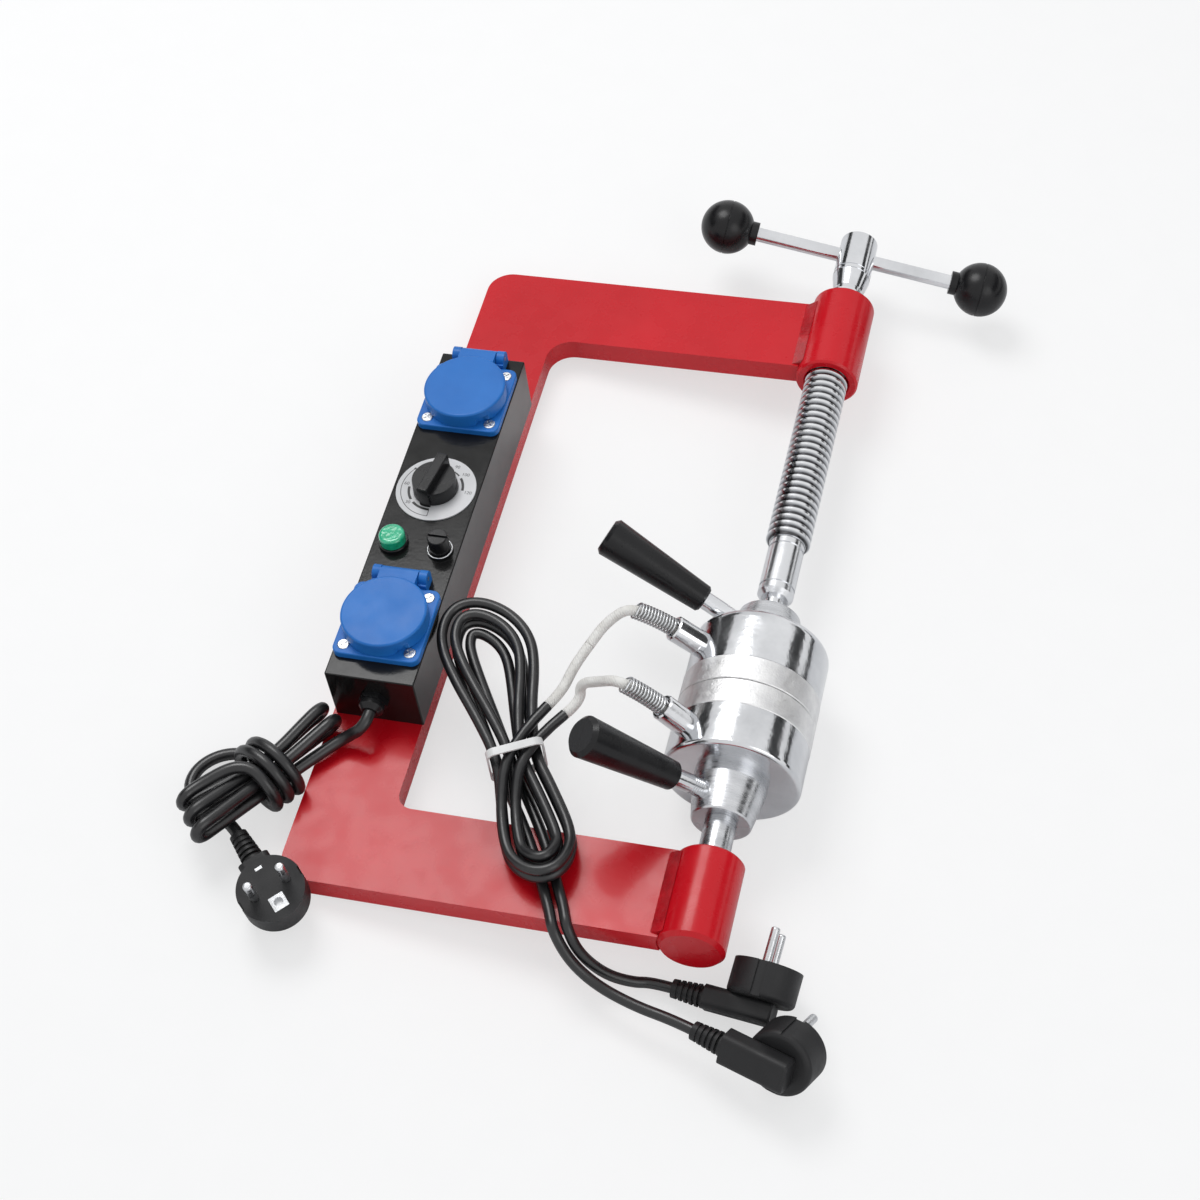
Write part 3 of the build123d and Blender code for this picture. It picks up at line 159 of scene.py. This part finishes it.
def weld():
    looks = Looks("weld_red")
    looks.set(Coat_Weight=0.6, Coat_Roughness=0.1)
    looks.color(looks.ramp(looks.noise(90.0, 5.0), (
        (0.3, (0.34, 0.003, 0.008)), (0.7, (0.60, 0.008, 0.018)))))
    looks.roughness(looks.between(looks.noise(120.0), 0.24, 0.42, *SPREAD))
    looks.bump(looks.noise(210.0, 4.0, 0.6), 0.55, 0.0022)
    return looks.material


def metal(name, dark, light, low, high, scale=30.0, stretch=None, bump=0.12, distance=0.0004):
    looks = Looks(name)
    looks.set(Metallic=1.0)
    looks.color(looks.ramp(looks.noise(scale, 6.0, 0.6, stretch), ((0.32, dark), (0.66, light))))
    looks.roughness(looks.between(looks.noise(scale * 2.3, 5.0, 0.6, stretch), low, high, *SPREAD))
    looks.bump(looks.noise(scale * 9.0, 3.0, 0.5, stretch), bump, distance)
    return looks.material


def thread_steel():
    """Plated steel with painted shade between the ridges, by the distance from the screw's axis."""
    looks = Looks("thread_steel_look")
    looks.set(Metallic=1.0)
    base = on_machine(0.0, 0.0, 0.0)
    along = (on_machine(0.0, 1.0, 0.0) - base).normalized()
    offset = looks.node("ShaderNodeVectorMath", operation="SUBTRACT")
    offset.inputs[1].default_value = base
    across = looks.node("ShaderNodeVectorMath", operation="CROSS_PRODUCT")
    across.inputs[1].default_value = along
    away = looks.node("ShaderNodeVectorMath", operation="LENGTH")
    looks.join(looks.coords.outputs["Object"], offset.inputs[0])
    looks.join(offset.outputs["Vector"], across.inputs[0])
    looks.join(across.outputs["Vector"], away.inputs[0])
    height = looks.between(away.outputs["Value"], 0.0, 1.0, TIP_RADIUS, SCREW_RADIUS)
    # Painted shade: the thread's valleys are painted dark, and the crests and tip keep the steel's colour.
    looks.color(looks.ramp(height, (
        (0.0, (0.70, 0.71, 0.73)), (0.2, (0.66, 0.67, 0.69)), (0.3, (0.05, 0.05, 0.053)),
        (0.48, (0.09, 0.09, 0.095)), (0.72, (0.36, 0.37, 0.39)), (0.97, (0.70, 0.71, 0.73)))))
    looks.roughness(looks.between(looks.noise(90.0, 5.0), 0.14, 0.30, *SPREAD))
    looks.bump(looks.noise(300.0, 3.0), 0.12, 0.0004)
    return looks.material


def plastic(name, dark, light, low, high, grain=900.0, bump=0.12, distance=0.0002, coat=0.0, gloss=0.5):
    looks = Looks(name)
    looks.set(Coat_Weight=coat, Coat_Roughness=0.12, Specular_IOR_Level=gloss)
    looks.color(looks.ramp(looks.noise(26.0, 5.0), ((0.3, dark), (0.7, light))))
    looks.roughness(looks.between(looks.noise(70.0, 6.0), low, high, *SPREAD))
    looks.bump(looks.noise(grain, 3.0), bump, distance)
    looks.bump(looks.noise(46.0, 2.0), 0.08, 0.0010)
    return looks.material


def cord_jacket():
    looks = Looks("cord_jacket")
    looks.set(Specular_IOR_Level=0.55)
    looks.color(looks.ramp(looks.noise(34.0, 5.0), (
        (0.3, (0.006, 0.006, 0.007)), (0.7, (0.013, 0.013, 0.014)))))
    looks.roughness(looks.between(looks.noise(110.0, 5.0), 0.26, 0.40, *SPREAD))
    looks.bump(looks.noise(420.0, 3.0), 0.10, 0.0003)
    looks.bump(looks.noise(70.0, 2.0), 0.16, 0.0009)
    return looks.material


def braid():
    """White glass braid: fine crossed strands."""
    looks = Looks("glass_braid")
    looks.set(Sheen_Weight=0.25)
    looks.color(looks.ramp(looks.noise(150.0, 5.0), (
        (0.3, (0.70, 0.68, 0.64)), (0.7, (0.86, 0.85, 0.82)))))
    looks.roughness(looks.between(looks.noise(300.0), 0.55, 0.8, *SPREAD))
    for turn in (STRAND_TURN, -STRAND_TURN):
        wave = looks.node("ShaderNodeTexWave", Scale=240.0, Distortion=1.2, Detail=1.0)
        mapping = looks.node("ShaderNodeMapping")
        mapping.inputs["Rotation"].default_value = (math.radians(turn), math.radians(turn), 0.0)
        looks.join(looks.coords.outputs["Object"], mapping.inputs["Vector"])
        looks.join(mapping.outputs["Vector"], wave.inputs["Vector"])
        looks.bump(wave.outputs["Fac"], 0.35, 0.0004)
    return looks.material


def lens():
    looks = Looks("green_lens")
    looks.set(Transmission_Weight=0.25, Coat_Weight=0.8, Coat_Roughness=0.05, IOR=1.49)
    looks.color(looks.ramp(looks.noise(220.0, 3.0), (
        (0.3, (0.004, 0.47, 0.22)), (0.7, (0.015, 0.66, 0.35)))))
    looks.roughness(looks.between(looks.noise(90.0), 0.10, 0.22, *SPREAD))
    rings = looks.node("ShaderNodeTexVoronoi", Scale=420.0)
    looks.join(looks.coords.outputs["Object"], rings.inputs["Vector"])
    looks.bump(rings.outputs["Distance"], 0.35, 0.0006)
    return looks.material


LOOKS = {
    "enamel": enamel(),
    "weld": weld(),
    "thread": thread_steel(),
    "chrome": metal(
        "bright_chrome", (0.56, 0.57, 0.59), (0.74, 0.75, 0.77), 0.07, 0.20, 18.0),
    "case": metal(
        "case_chrome_look", (0.54, 0.55, 0.57), (0.72, 0.73, 0.75), 0.08, 0.24, 22.0, None, 0.25, 0.0006),
    "steel": metal(
        "plated_steel_look", (0.46, 0.47, 0.49), (0.62, 0.63, 0.65), 0.18, 0.36, 24.0, (1.0, 7.0, 1.0)),
    "zinc": metal(
        "zinc_steel_look", (0.46, 0.47, 0.48), (0.64, 0.65, 0.67), 0.20, 0.38, 60.0),
    "cast": metal(
        "cast_aluminium_look", (0.66, 0.66, 0.67), (0.80, 0.80, 0.80), 0.34, 0.56, 90.0, None, 0.3, 0.0006),
    "brass": metal(
        "brass_look", (0.50, 0.36, 0.14), (0.68, 0.50, 0.22), 0.22, 0.4, 60.0),
    "black": plastic(
        "black_plastic_look", (0.005, 0.005, 0.006), (0.010, 0.010, 0.011), 0.20, 0.34, gloss=0.28),
    "grip": plastic(
        "grip_plastic_look", (0.005, 0.005, 0.006), (0.011, 0.011, 0.012), 0.20, 0.36, 620.0, 0.2,
        gloss=0.28),
    "box": plastic(
        "box_paint_look", (0.005, 0.005, 0.005), (0.010, 0.010, 0.010), 0.12, 0.24, 520.0, 0.12, 0.0003,
        coat=0.12, gloss=0.2),
    "plug": plastic(
        "plug_plastic_look", (0.006, 0.006, 0.007), (0.013, 0.013, 0.014), 0.42, 0.6, 1500.0, 0.3,
        gloss=0.35),
    "blue": plastic(
        "socket_blue_look", (0.010, 0.132, 0.46), (0.017, 0.170, 0.55), 0.30, 0.46, 1300.0, 0.22, gloss=0.3),
    "dial": plastic("dial_face_look", (0.56, 0.56, 0.57), (0.66, 0.66, 0.67), 0.3, 0.45, 700.0, 0.05),
    "print": plastic("dial_print_look", (0.010, 0.010, 0.011), (0.025, 0.025, 0.026), 0.4, 0.55, 900.0, 0.05),
    "nylon": plastic("tie_nylon_look", (0.66, 0.66, 0.65), (0.80, 0.80, 0.79), 0.34, 0.5, 900.0, 0.08),
    "ceramic": plastic("ceramic_look", (0.70, 0.68, 0.62), (0.80, 0.78, 0.72), 0.4, 0.6),
    "wool": plastic("insulation_look", (0.60, 0.56, 0.48), (0.74, 0.70, 0.62), 0.8, 0.95, 200.0, 0.6, 0.001),
    "jacket": cord_jacket(),
    "braid": braid(),
    "lens": lens(),
}

NODE_LOOKS = {
    "enamel": ("frame_plate", "upper_boss", "lower_boss"),
    "weld": ("weld_beads",),
    "thread": ("feed_screw",),
    "chrome": (
        "tee_head", "tommy_bar", "lower_handle_stem", "upper_handle_stem", "lower_inlet", "upper_inlet"),
    "case": ("lower_case", "upper_case"),
    "steel": ("lower_post", "thrust_pad", "upper_collar", "lower_collar"),
    "zinc": ("lower_spring", "upper_spring", "socket_screws", "plug_pins", "lid_pins", "thermostat_shaft"),
    "cast": ("lower_heating_plate", "upper_heating_plate"),
    "brass": ("socket_contacts", "fuse_link"),
    "black": (
        "left_ball_knob", "right_ball_knob", "fuse_cap", "cable_gland", "thermostat_knob", "thermostat_body",
        "fuse_holder", "lamp_body"),
    "grip": ("lower_handle_grip", "upper_handle_grip"),
    "box": ("control_box",),
    "plug": ("heater_plug_0", "heater_plug_1", "supply_plug"),
    "blue": ("lower_socket", "upper_socket", "lower_socket_lid", "upper_socket_lid"),
    "dial": ("dial_plate",),
    "nylon": ("cable_tie",),
    "ceramic": ("lower_heating_element", "upper_heating_element"),
    "wool": ("lower_insulation", "upper_insulation"),
    "lens": ("lamp_lens",),
}
for look, names in NODE_LOOKS.items():
    for name in names:
        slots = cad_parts[name].material_slots
        if not slots:
            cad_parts[name].data.materials.append(LOOKS[look])
        for slot in slots:
            slot.material = LOOKS[look]


# Making pieces


def shown(name, data, body, look):
    """A new piece that rides on a body."""
    piece = bpy.data.objects.new(name, data)
    scene.collection.objects.link(piece)
    data.materials.append(LOOKS[look])
    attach(piece, body)
    return piece


def cord_curve(name, points, radius):
    """One smooth curve with the route's points as its control points."""
    data = bpy.data.curves.new(name, "CURVE")
    data.dimensions = "3D"
    data.resolution_u = 6
    spline = data.splines.new("NURBS")
    spline.points.add(len(points) - 1)
    for place, point in zip(spline.points, points):
        place.co = (point.x, point.y, point.z, 1.0)
    spline.order_u = 3
    spline.use_endpoint_u = True
    data.bevel_depth = radius
    data.bevel_resolution = 5
    data.use_fill_caps = True
    return data


def line_of(points):
    """The curve's own centreline, read from its spline."""
    data = cord_curve("line", points, 0.0)
    data.resolution_u = 12
    carrier = bpy.data.objects.new("line", data)
    scene.collection.objects.link(carrier)
    bpy.context.view_layer.update()
    mesh = bpy.data.meshes.new_from_object(carrier)
    line = [vertex.co.copy() for vertex in mesh.vertices]
    bpy.data.objects.remove(carrier)
    bpy.data.meshes.remove(mesh)
    bpy.data.curves.remove(data)
    return line


def tube_mesh(name, line, radius, sides=20):
    """A round tube whose rings follow a line without twisting."""
    mesh = bpy.data.meshes.new(name)
    work = bmesh.new()
    way = (line[1] - line[0]).normalized()
    side = way.orthogonal().normalized()
    rings = []
    for i, point in enumerate(line):
        way = (line[min(i + 1, len(line) - 1)] - line[max(i - 1, 0)]).normalized()
        side = (side - way * side.dot(way)).normalized()
        other = way.cross(side)
        ring = []
        for k in range(sides):
            turn = 2 * math.pi * k / sides
            ring.append(work.verts.new(point + (side * math.cos(turn) + other * math.sin(turn)) * radius))
        rings.append(ring)
    for a, b in zip(rings, rings[1:]):
        for k in range(sides):
            work.faces.new((a[k], a[(k + 1) % sides], b[(k + 1) % sides], b[k]))
    work.faces.new(list(reversed(rings[0])))
    work.faces.new(rings[-1])
    for face in work.faces:
        face.smooth = len(face.verts) == 4
    work.to_mesh(mesh)
    work.free()
    return mesh


# Heater leads: sleeve, hank, tail and plug

HANK_TURN = math.radians(62.87)
HANK_WAIST = (-111.5, 83.0)
HANK_AWAY = 7.0 + 0.4 + 3.0
HANK_LOW_END, HANK_SLOPE = 71.7, 0.13
LAYER = 7.2
LANE = 7.6
LEAD_RADIUS = 0.003
SLEEVE_RADIUS = 0.0029


def hank_point(u, v, level):
    """A place in the heater hank: u down its axis, v to its right, level in layers."""
    x = HANK_WAIST[0] + u * math.cos(HANK_TURN) + v * math.sin(HANK_TURN)
    y = HANK_WAIST[1] - u * math.sin(HANK_TURN) + v * math.cos(HANK_TURN)
    z = HANK_AWAY + (HANK_LOW_END - u) * HANK_SLOPE + level * LAYER
    return on_machine(x, y, z)


def hank_loop(strand, loop):
    """Once round the hank: the lower end, the waist, the upper end and back to the waist."""
    lane = LANE * strand
    level = 1 - loop
    waist = 11.0 - lane
    wide, reach = 18.0 - lane, 27.7 - lane
    top_wide, top_reach = 24.5 - lane - LANE * loop, 34.5 - lane - LANE * loop
    low = (wide + waist) / 2
    return [
        (25, -low, level), (51.4, -wide, level + 0.1), (44 + 0.73 * reach, -0.73 * wide, level + 0.6),
        (44 + reach, -0.27 * wide, level + 1), (44 + reach, 0.27 * wide, level + 1),
        (44 + 0.73 * reach, 0.73 * wide, level + 0.6), (51.4, wide, level + 0.1), (25, low, level),
        (0, waist - 1.2, level), (-27, waist + 0.3 * (top_wide - waist), level),
        (-50, waist + 0.85 * (top_wide - waist), level), (-59 - 0.27 * top_reach, top_wide, level),
        (-60.4 - 0.73 * top_reach, 0.73 * top_wide - 0.5, level),
        (-63 - top_reach, 0.27 * top_wide - 2.5, level), (-65 - top_reach, -0.27 * top_wide - 2.5, level),
        (-67.4 - 0.73 * top_reach, -0.73 * top_wide - 0.7, level),
        (-69 - 0.27 * top_reach, -top_wide, level), (-55, -waist - 0.8 * (top_wide - waist), level),
        (-28, -waist - 0.3 * (top_wide - waist), level - 0.3 * loop), (0, -waist + 1.2, level - loop)]


TAILS = (
    ((-71, -8, 39.5), (-60, -16, 27), (-44, -22, 18.5), (-22, -29, 19.5)),
    ((-64.5, -5, 40.5), (-56, -11, 27), (-41, -13, 14.5), (-26, -11, 9)))
RELIEFS = (
    ((10.5, -37.1, 24.5), (-0.934, 0.317, -0.164)),
    ((-5.4, -9.3, 9.5), (-0.979, 0.123, -0.165)),
    ((-251.2, 19.0, 12.6), (-0.720, 0.690, 0.080)))


def lead_route(strand):
    """The black lead from the end of its sleeve to its plug's relief."""
    beside = (strand - 0.5) * LANE
    route = [hank_point(-16 + beside, 27 + beside, 2), hank_point(beside / 2, beside, 2.1)]
    for loop in (0, 1):
        route += [hank_point(*place) for place in hank_loop(strand, loop)]
    before = hank_point(44, beside, -0.5)
    end = hank_point(78.9, beside, 0.125)
    route += [before, end, end + (end - before).normalized() * 3 * LEAD_RADIUS]
    route += [on_table(*place) for place in TAILS[strand]]
    tip, arm = RELIEFS[strand]
    tip = on_table(*tip)
    return route + [tip + Vector(arm) * 4 * LEAD_RADIUS, tip]


SLEEVES = (
    ((-41.75, 173.0, 35.03), (-48.09, 173.0, 40.35), (-57.61, 171.09, 48.34), (-67.12, 168.1, 56.32),
     (-78, 161, 50), (-85, 148, 45), (-91, 135, 41), (-94.21, 121.3, 37.27), (-99.88, 111.2, 36.7)),
    ((-35.76, 116.6, 41.13), (-41.19, 116.6, 47.38), (-50.42, 116.12, 55.81), (-60.26, 115.38, 63.72),
     (-72, 121, 52), (-84, 123, 45), (-82.95, 117.36, 36.13), (-89.65, 107.9, 35.71)))


def length_of(line):
    return sum((b - a).length for a, b in zip(line, line[1:]))


for strand in (0, 1):
    route = lead_route(strand)
    name = "heater_lead_%d" % strand
    lead = shown(name, cord_curve(name, route, LEAD_RADIUS), "frame", "jacket")
    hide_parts("heater_hank_%d" % strand, "heater_tail_%d" % strand)
    length_of(line_of(route))


def sleeve_piece(name, line, node):
    """A length of braided sleeve along a bent line, in place of a CAD node."""
    mesh = tube_mesh(name, line, SLEEVE_RADIUS)
    mesh.materials.append(LOOKS["braid"])
    piece = bpy.data.objects.new(name, mesh)
    scene.collection.objects.link(piece)
    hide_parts(node)
    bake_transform(piece)


line = line_of([on_machine(*place) for place in SLEEVES[1]])
sleeve_piece("lower_sleeve_braid", line, "lower_sleeve")
line = line_of([on_machine(*place) for place in SLEEVES[0]])
middle = min(range(len(line)), key=lambda i: (line[i] - on_machine(*SLEEVES[0][5])).length)
sleeve_piece("upper_sleeve_braid", line[:middle + 1], "upper_sleeve")
sleeve_piece("upper_sleeve_slack", line[middle:], "upper_sleeve")

# Supply cord: out of the gland, three long loops, wraps round them, a wide loop and the plug

TIED_TURN = math.radians(57.95)
TIED_WAIST = (-243.1, 60.0)
CORD_RADIUS = 0.0034
FINGER_LANE = 7.3
WRAP_START, WRAP_PITCH = 15.5, 7.7
WRAP_WIDE, WRAP_HIGH, WRAP_CENTRE = 18.4, 16.1, 21.4
WRAP_POINTS = 31


def tied_point(u, v, z):
    """A place in the tied supply hank: u down its axis, v across it, z above the table."""
    x = TIED_WAIST[0] - u * math.cos(TIED_TURN) + v * math.sin(TIED_TURN)
    y = TIED_WAIST[1] - u * math.sin(TIED_TURN) - v * math.cos(TIED_TURN)
    return on_table(x, y, z)


def supply_route():
    """From the gland through the tied hank and a wide loop on the table to the plug's relief."""
    route = [Vector((-0.13488, -0.1622, 0.0361)), on_table(-200.3, 88.0, 35.8), on_table(-210.9, 86.8, 23.6),
             tied_point(-30, 10.7, 21.4)]
    for finger in range(3):
        lane = (1 - finger) * FINGER_LANE
        reach = 59.5 - finger * 3.4
        fan = 7.3 - finger * 10.2
        route += [
            tied_point(0, lane, 18.1), tied_point(reach - 11, fan, 21.2), tied_point(reach - 3.2, fan, 21.7),
            tied_point(reach, fan, 25), tied_point(reach, fan, 29.6), tied_point(reach - 3.2, fan, 32.9),
            tied_point(reach - 11, fan, 32.6)]
        if finger < 2:
            back = 3.5 - finger * 10.5
            route += [
                tied_point(0, lane - FINGER_LANE / 2, 25.2), tied_point(-32, back, 30.2),
                tied_point(-39, back - 0.4, 29.9), tied_point(-42, back - 1.2, 26.7),
                tied_point(-42, back - 2.2, 22.1), tied_point(-39, back - 3, 18.9),
                tied_point(-32, back - 3.4, 18.6)]
    route += [tied_point(22.8, -8, 37)]
    for twelfth in range(WRAP_POINTS):
        turn = math.radians(90 - 30 * twelfth)
        route.append(tied_point(
            WRAP_START - WRAP_PITCH * twelfth / 12, WRAP_WIDE * math.cos(turn),
            WRAP_CENTRE + WRAP_HIGH * math.sin(turn)))
    route += [
        tied_point(-3, -22, 4.4), tied_point(9, -35, 4), tied_point(25, -38, 3.8), tied_point(38, -31, 3.8),
        tied_point(41, -16, 4.8)]
    tip, arm = RELIEFS[2]
    tip = on_table(*tip)
    return route + [tip + Vector(arm) * 0.010, tip]


route = supply_route()
supply = shown(
    "supply_lead", cord_curve("supply_lead", route, CORD_RADIUS), "frame", "jacket")
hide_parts("supply_cord", "supply_hank")
length_of(line_of(route))

# Marks on the dial, printed flat on its face, and the fuse holder's ring

DIAL = (-198.7, 242.3, 45.33)
ARC_STEP = 4
FIGURE_SIZE = 0.0031
FUSE = (-184.0, 199.2, 46.1)
FUSE_RING_RADIUS = 7.0
FUSE_RING_WIRE = 0.00045
FUSE_RING_STEPS = 48


def flat_arc(work, radius, width, start, end):
    """A printed arc between two angles on the dial."""
    steps = max(2, int(abs(end - start) / ARC_STEP))
    inner, outer = [], []
    for i in range(steps + 1):
        turn = math.radians(start + (end - start) * i / steps)
        for row, reach in ((inner, radius - width / 2), (outer, radius + width / 2)):
            x, y, z = DIAL
            row.append(work.verts.new(on_machine(x + reach * math.cos(turn), y + reach * math.sin(turn), z)))
    for i in range(steps):
        work.faces.new((inner[i], outer[i], outer[i + 1], inner[i + 1]))


def dial_print():
    """The scale's arcs, as radius, width, start and end, and its plain numbers."""
    work = bmesh.new()
    for radius, width, start, end in (
            (15.8, 1.5, 183, 219), (15.8, 1.5, 228, 271), (15.6, 1.5, 3, 38), (15.6, 0.9, 46, 62),
            (20.5, 0.4, 143, 271), (18.4, 4.4, 270.2, 271.4), (20.6, 1.2, 139.5, 143)):
        flat_arc(work, radius, width, start, end)
    mesh = bpy.data.meshes.new("dial_marks")
    work.to_mesh(mesh)
    work.free()
    shown("dial_marks", mesh, "frame", "print")
    for text, angle, radius in (("30", -138, 18.2), ("60", 176, 18.0), ("90", 65, 19.4), ("100", 41, 19.2),
                                ("120", -1, 19.2)):
        font = bpy.data.curves.new("figure_" + text, "FONT")
        font.body = text
        font.size = FIGURE_SIZE
        font.align_x = "CENTER"
        font.align_y = "CENTER"
        carrier = bpy.data.objects.new("carrier", font)
        scene.collection.objects.link(carrier)
        bpy.context.view_layer.update()
        mesh = bpy.data.meshes.new_from_object(carrier)
        bpy.data.objects.remove(carrier)
        bpy.data.curves.remove(font)
        turn = math.radians(angle)
        place = Matrix.Translation(on_machine(
            DIAL[0] + radius * math.cos(turn), DIAL[1] + radius * math.sin(turn), DIAL[2]))
        mesh.transform(place @ MACHINE.to_3x3().to_4x4())
        shown("figure_" + text, mesh, "frame", "print")


dial_print()


def fuse_ring():
    """The thin bright ring round the fuse holder's top."""
    circle = []
    for step in range(FUSE_RING_STEPS + 1):
        turn = 2 * math.pi * step / FUSE_RING_STEPS
        circle.append(on_machine(
            FUSE[0] + FUSE_RING_RADIUS * math.cos(turn), FUSE[1] + FUSE_RING_RADIUS * math.sin(turn), FUSE[2]))
    mesh = tube_mesh("fuse_ring", circle, FUSE_RING_WIRE, 12)
    shown("fuse_ring", mesh, "frame", "zinc")


fuse_ring()

# Camera, light and floor

ROOM_LIGHT = 0.55
SEEN_WHITE = 1.0
FLOOR_WHITE_SHARE = 0.62
FLOOR_REACH = 4.0
camera = bpy.data.objects.new("camera", bpy.data.cameras.new("camera"))
camera.data.lens = 70.07
camera.data.sensor_width = 36.0
camera.data.clip_start = 0.01
camera.matrix_world = Matrix((
    (0.97213, -0.21078, 0.10262, 0.10537),
    (0.23092, 0.7855, -0.57416, -0.81720),
    (0.04041, 0.58186, 0.81229, 1.11310),
    (0.0, 0.0, 0.0, 1.0)))
scene.collection.objects.link(camera)
scene.camera = camera


def softbox(name, place, aim, size, power):
    lamp = bpy.data.lights.new(name, "AREA")
    lamp.shape = "DISK"
    lamp.size = size
    lamp.energy = power
    carrier = bpy.data.objects.new(name, lamp)
    carrier.location = place
    carrier.rotation_euler = (Vector(aim) - Vector(place)).to_track_quat("-Z", "Y").to_euler()
    scene.collection.objects.link(carrier)


softbox("key", (-0.7, 0.5, 1.5), (0.0, 0.0, 0.0), 0.9, 13.0)
softbox("fill", (1.1, -0.9, 1.2), (0.0, 0.0, 0.0), 1.2, 5.0)


def dark_card(name, x, low, high, near, far):
    """A dark card out of the picture, which only bright metal mirrors."""
    mesh = bpy.data.meshes.new(name)
    mesh.from_pydata([(x, near, low), (x, far, low), (x, far, high), (x, near, high)], [], [(0, 1, 2, 3)])
    looks = Looks(name)
    looks.color(looks.ramp(looks.noise(2.0), ((0.3, (0.02, 0.02, 0.02)), (0.7, (0.05, 0.05, 0.05)))))
    looks.roughness(looks.between(looks.noise(2.0), 0.8, 0.95))
    mesh.materials.append(looks.material)
    piece = bpy.data.objects.new(name, mesh)
    scene.collection.objects.link(piece)
    piece.visible_camera = False
    piece.visible_diffuse = False
    piece.visible_shadow = False
    piece.visible_transmission = False


dark_card("left_card", -1.7, 0.22, 1.15, -0.6, 3.0)
dark_card("right_card", 1.9, 0.75, 1.7, -0.6, 3.0)
dark_card("low_card", 1.9, 0.0, 0.3, -0.6, 3.0)

world = bpy.data.worlds.new("studio")
scene.world = world
world.use_nodes = True
nodes, links = world.node_tree.nodes, world.node_tree.links
nodes.clear()
out = nodes.new("ShaderNodeOutputWorld")
path = nodes.new("ShaderNodeLightPath")
seen = nodes.new("ShaderNodeMath")
seen.operation = "MAXIMUM"
either = nodes.new("ShaderNodeMath")
either.operation = "MAXIMUM"
lit = nodes.new("ShaderNodeBackground")
lit.inputs["Color"].default_value = (0.95, 0.97, 1.0, 1.0)
lit.inputs["Strength"].default_value = ROOM_LIGHT
white = nodes.new("ShaderNodeBackground")
white.inputs["Color"].default_value = (1.0, 1.0, 1.0, 1.0)
white.inputs["Strength"].default_value = SEEN_WHITE
mixed = nodes.new("ShaderNodeMixShader")
links.new(path.outputs["Is Camera Ray"], seen.inputs[0])
links.new(path.outputs["Is Glossy Ray"], seen.inputs[1])
links.new(seen.outputs[0], either.inputs[0])
links.new(path.outputs["Is Transmission Ray"], either.inputs[1])
links.new(either.outputs[0], mixed.inputs[0])
links.new(lit.outputs[0], mixed.inputs[1])
links.new(white.outputs[0], mixed.inputs[2])
links.new(mixed.outputs[0], out.inputs["Surface"])


def floor():
    """White paper that shows most of its own white to the camera and keeps the shadow."""
    mesh = bpy.data.meshes.new("floor")
    corners_of_floor = [(x * FLOOR_REACH, y * FLOOR_REACH, 0) for x, y in ((-1, -1), (1, -1), (1, 1), (-1, 1))]
    mesh.from_pydata(corners_of_floor, [], [(0, 1, 2, 3)])
    looks = Looks("floor_paper")
    looks.color(looks.ramp(looks.noise(40.0), ((0.3, (0.90, 0.90, 0.90)), (0.7, (0.92, 0.92, 0.92)))))
    looks.roughness(looks.between(looks.noise(30.0), 0.85, 0.95))
    seen = looks.node("ShaderNodeLightPath").outputs
    either = looks.node("ShaderNodeMath", operation="MAXIMUM")
    share = looks.node("ShaderNodeMath", operation="MULTIPLY")
    share.inputs[1].default_value = FLOOR_WHITE_SHARE
    white = looks.node("ShaderNodeEmission", Strength=SEEN_WHITE)
    mixed = looks.node("ShaderNodeMixShader")
    looks.join(seen["Is Camera Ray"], either.inputs[0])
    looks.join(seen["Is Transmission Ray"], either.inputs[1])
    looks.join(either.outputs[0], share.inputs[0])
    looks.join(share.outputs[0], mixed.inputs[0])
    looks.join(looks.shader.outputs[0], mixed.inputs[1])
    looks.join(white.outputs[0], mixed.inputs[2])
    looks.join(mixed.outputs[0], looks.tree.nodes["Material Output"].inputs["Surface"])
    mesh.materials.append(looks.material)
    piece = bpy.data.objects.new("floor", mesh)
    scene.collection.objects.link(piece)


floor()
scene.view_settings.view_transform = "Standard"
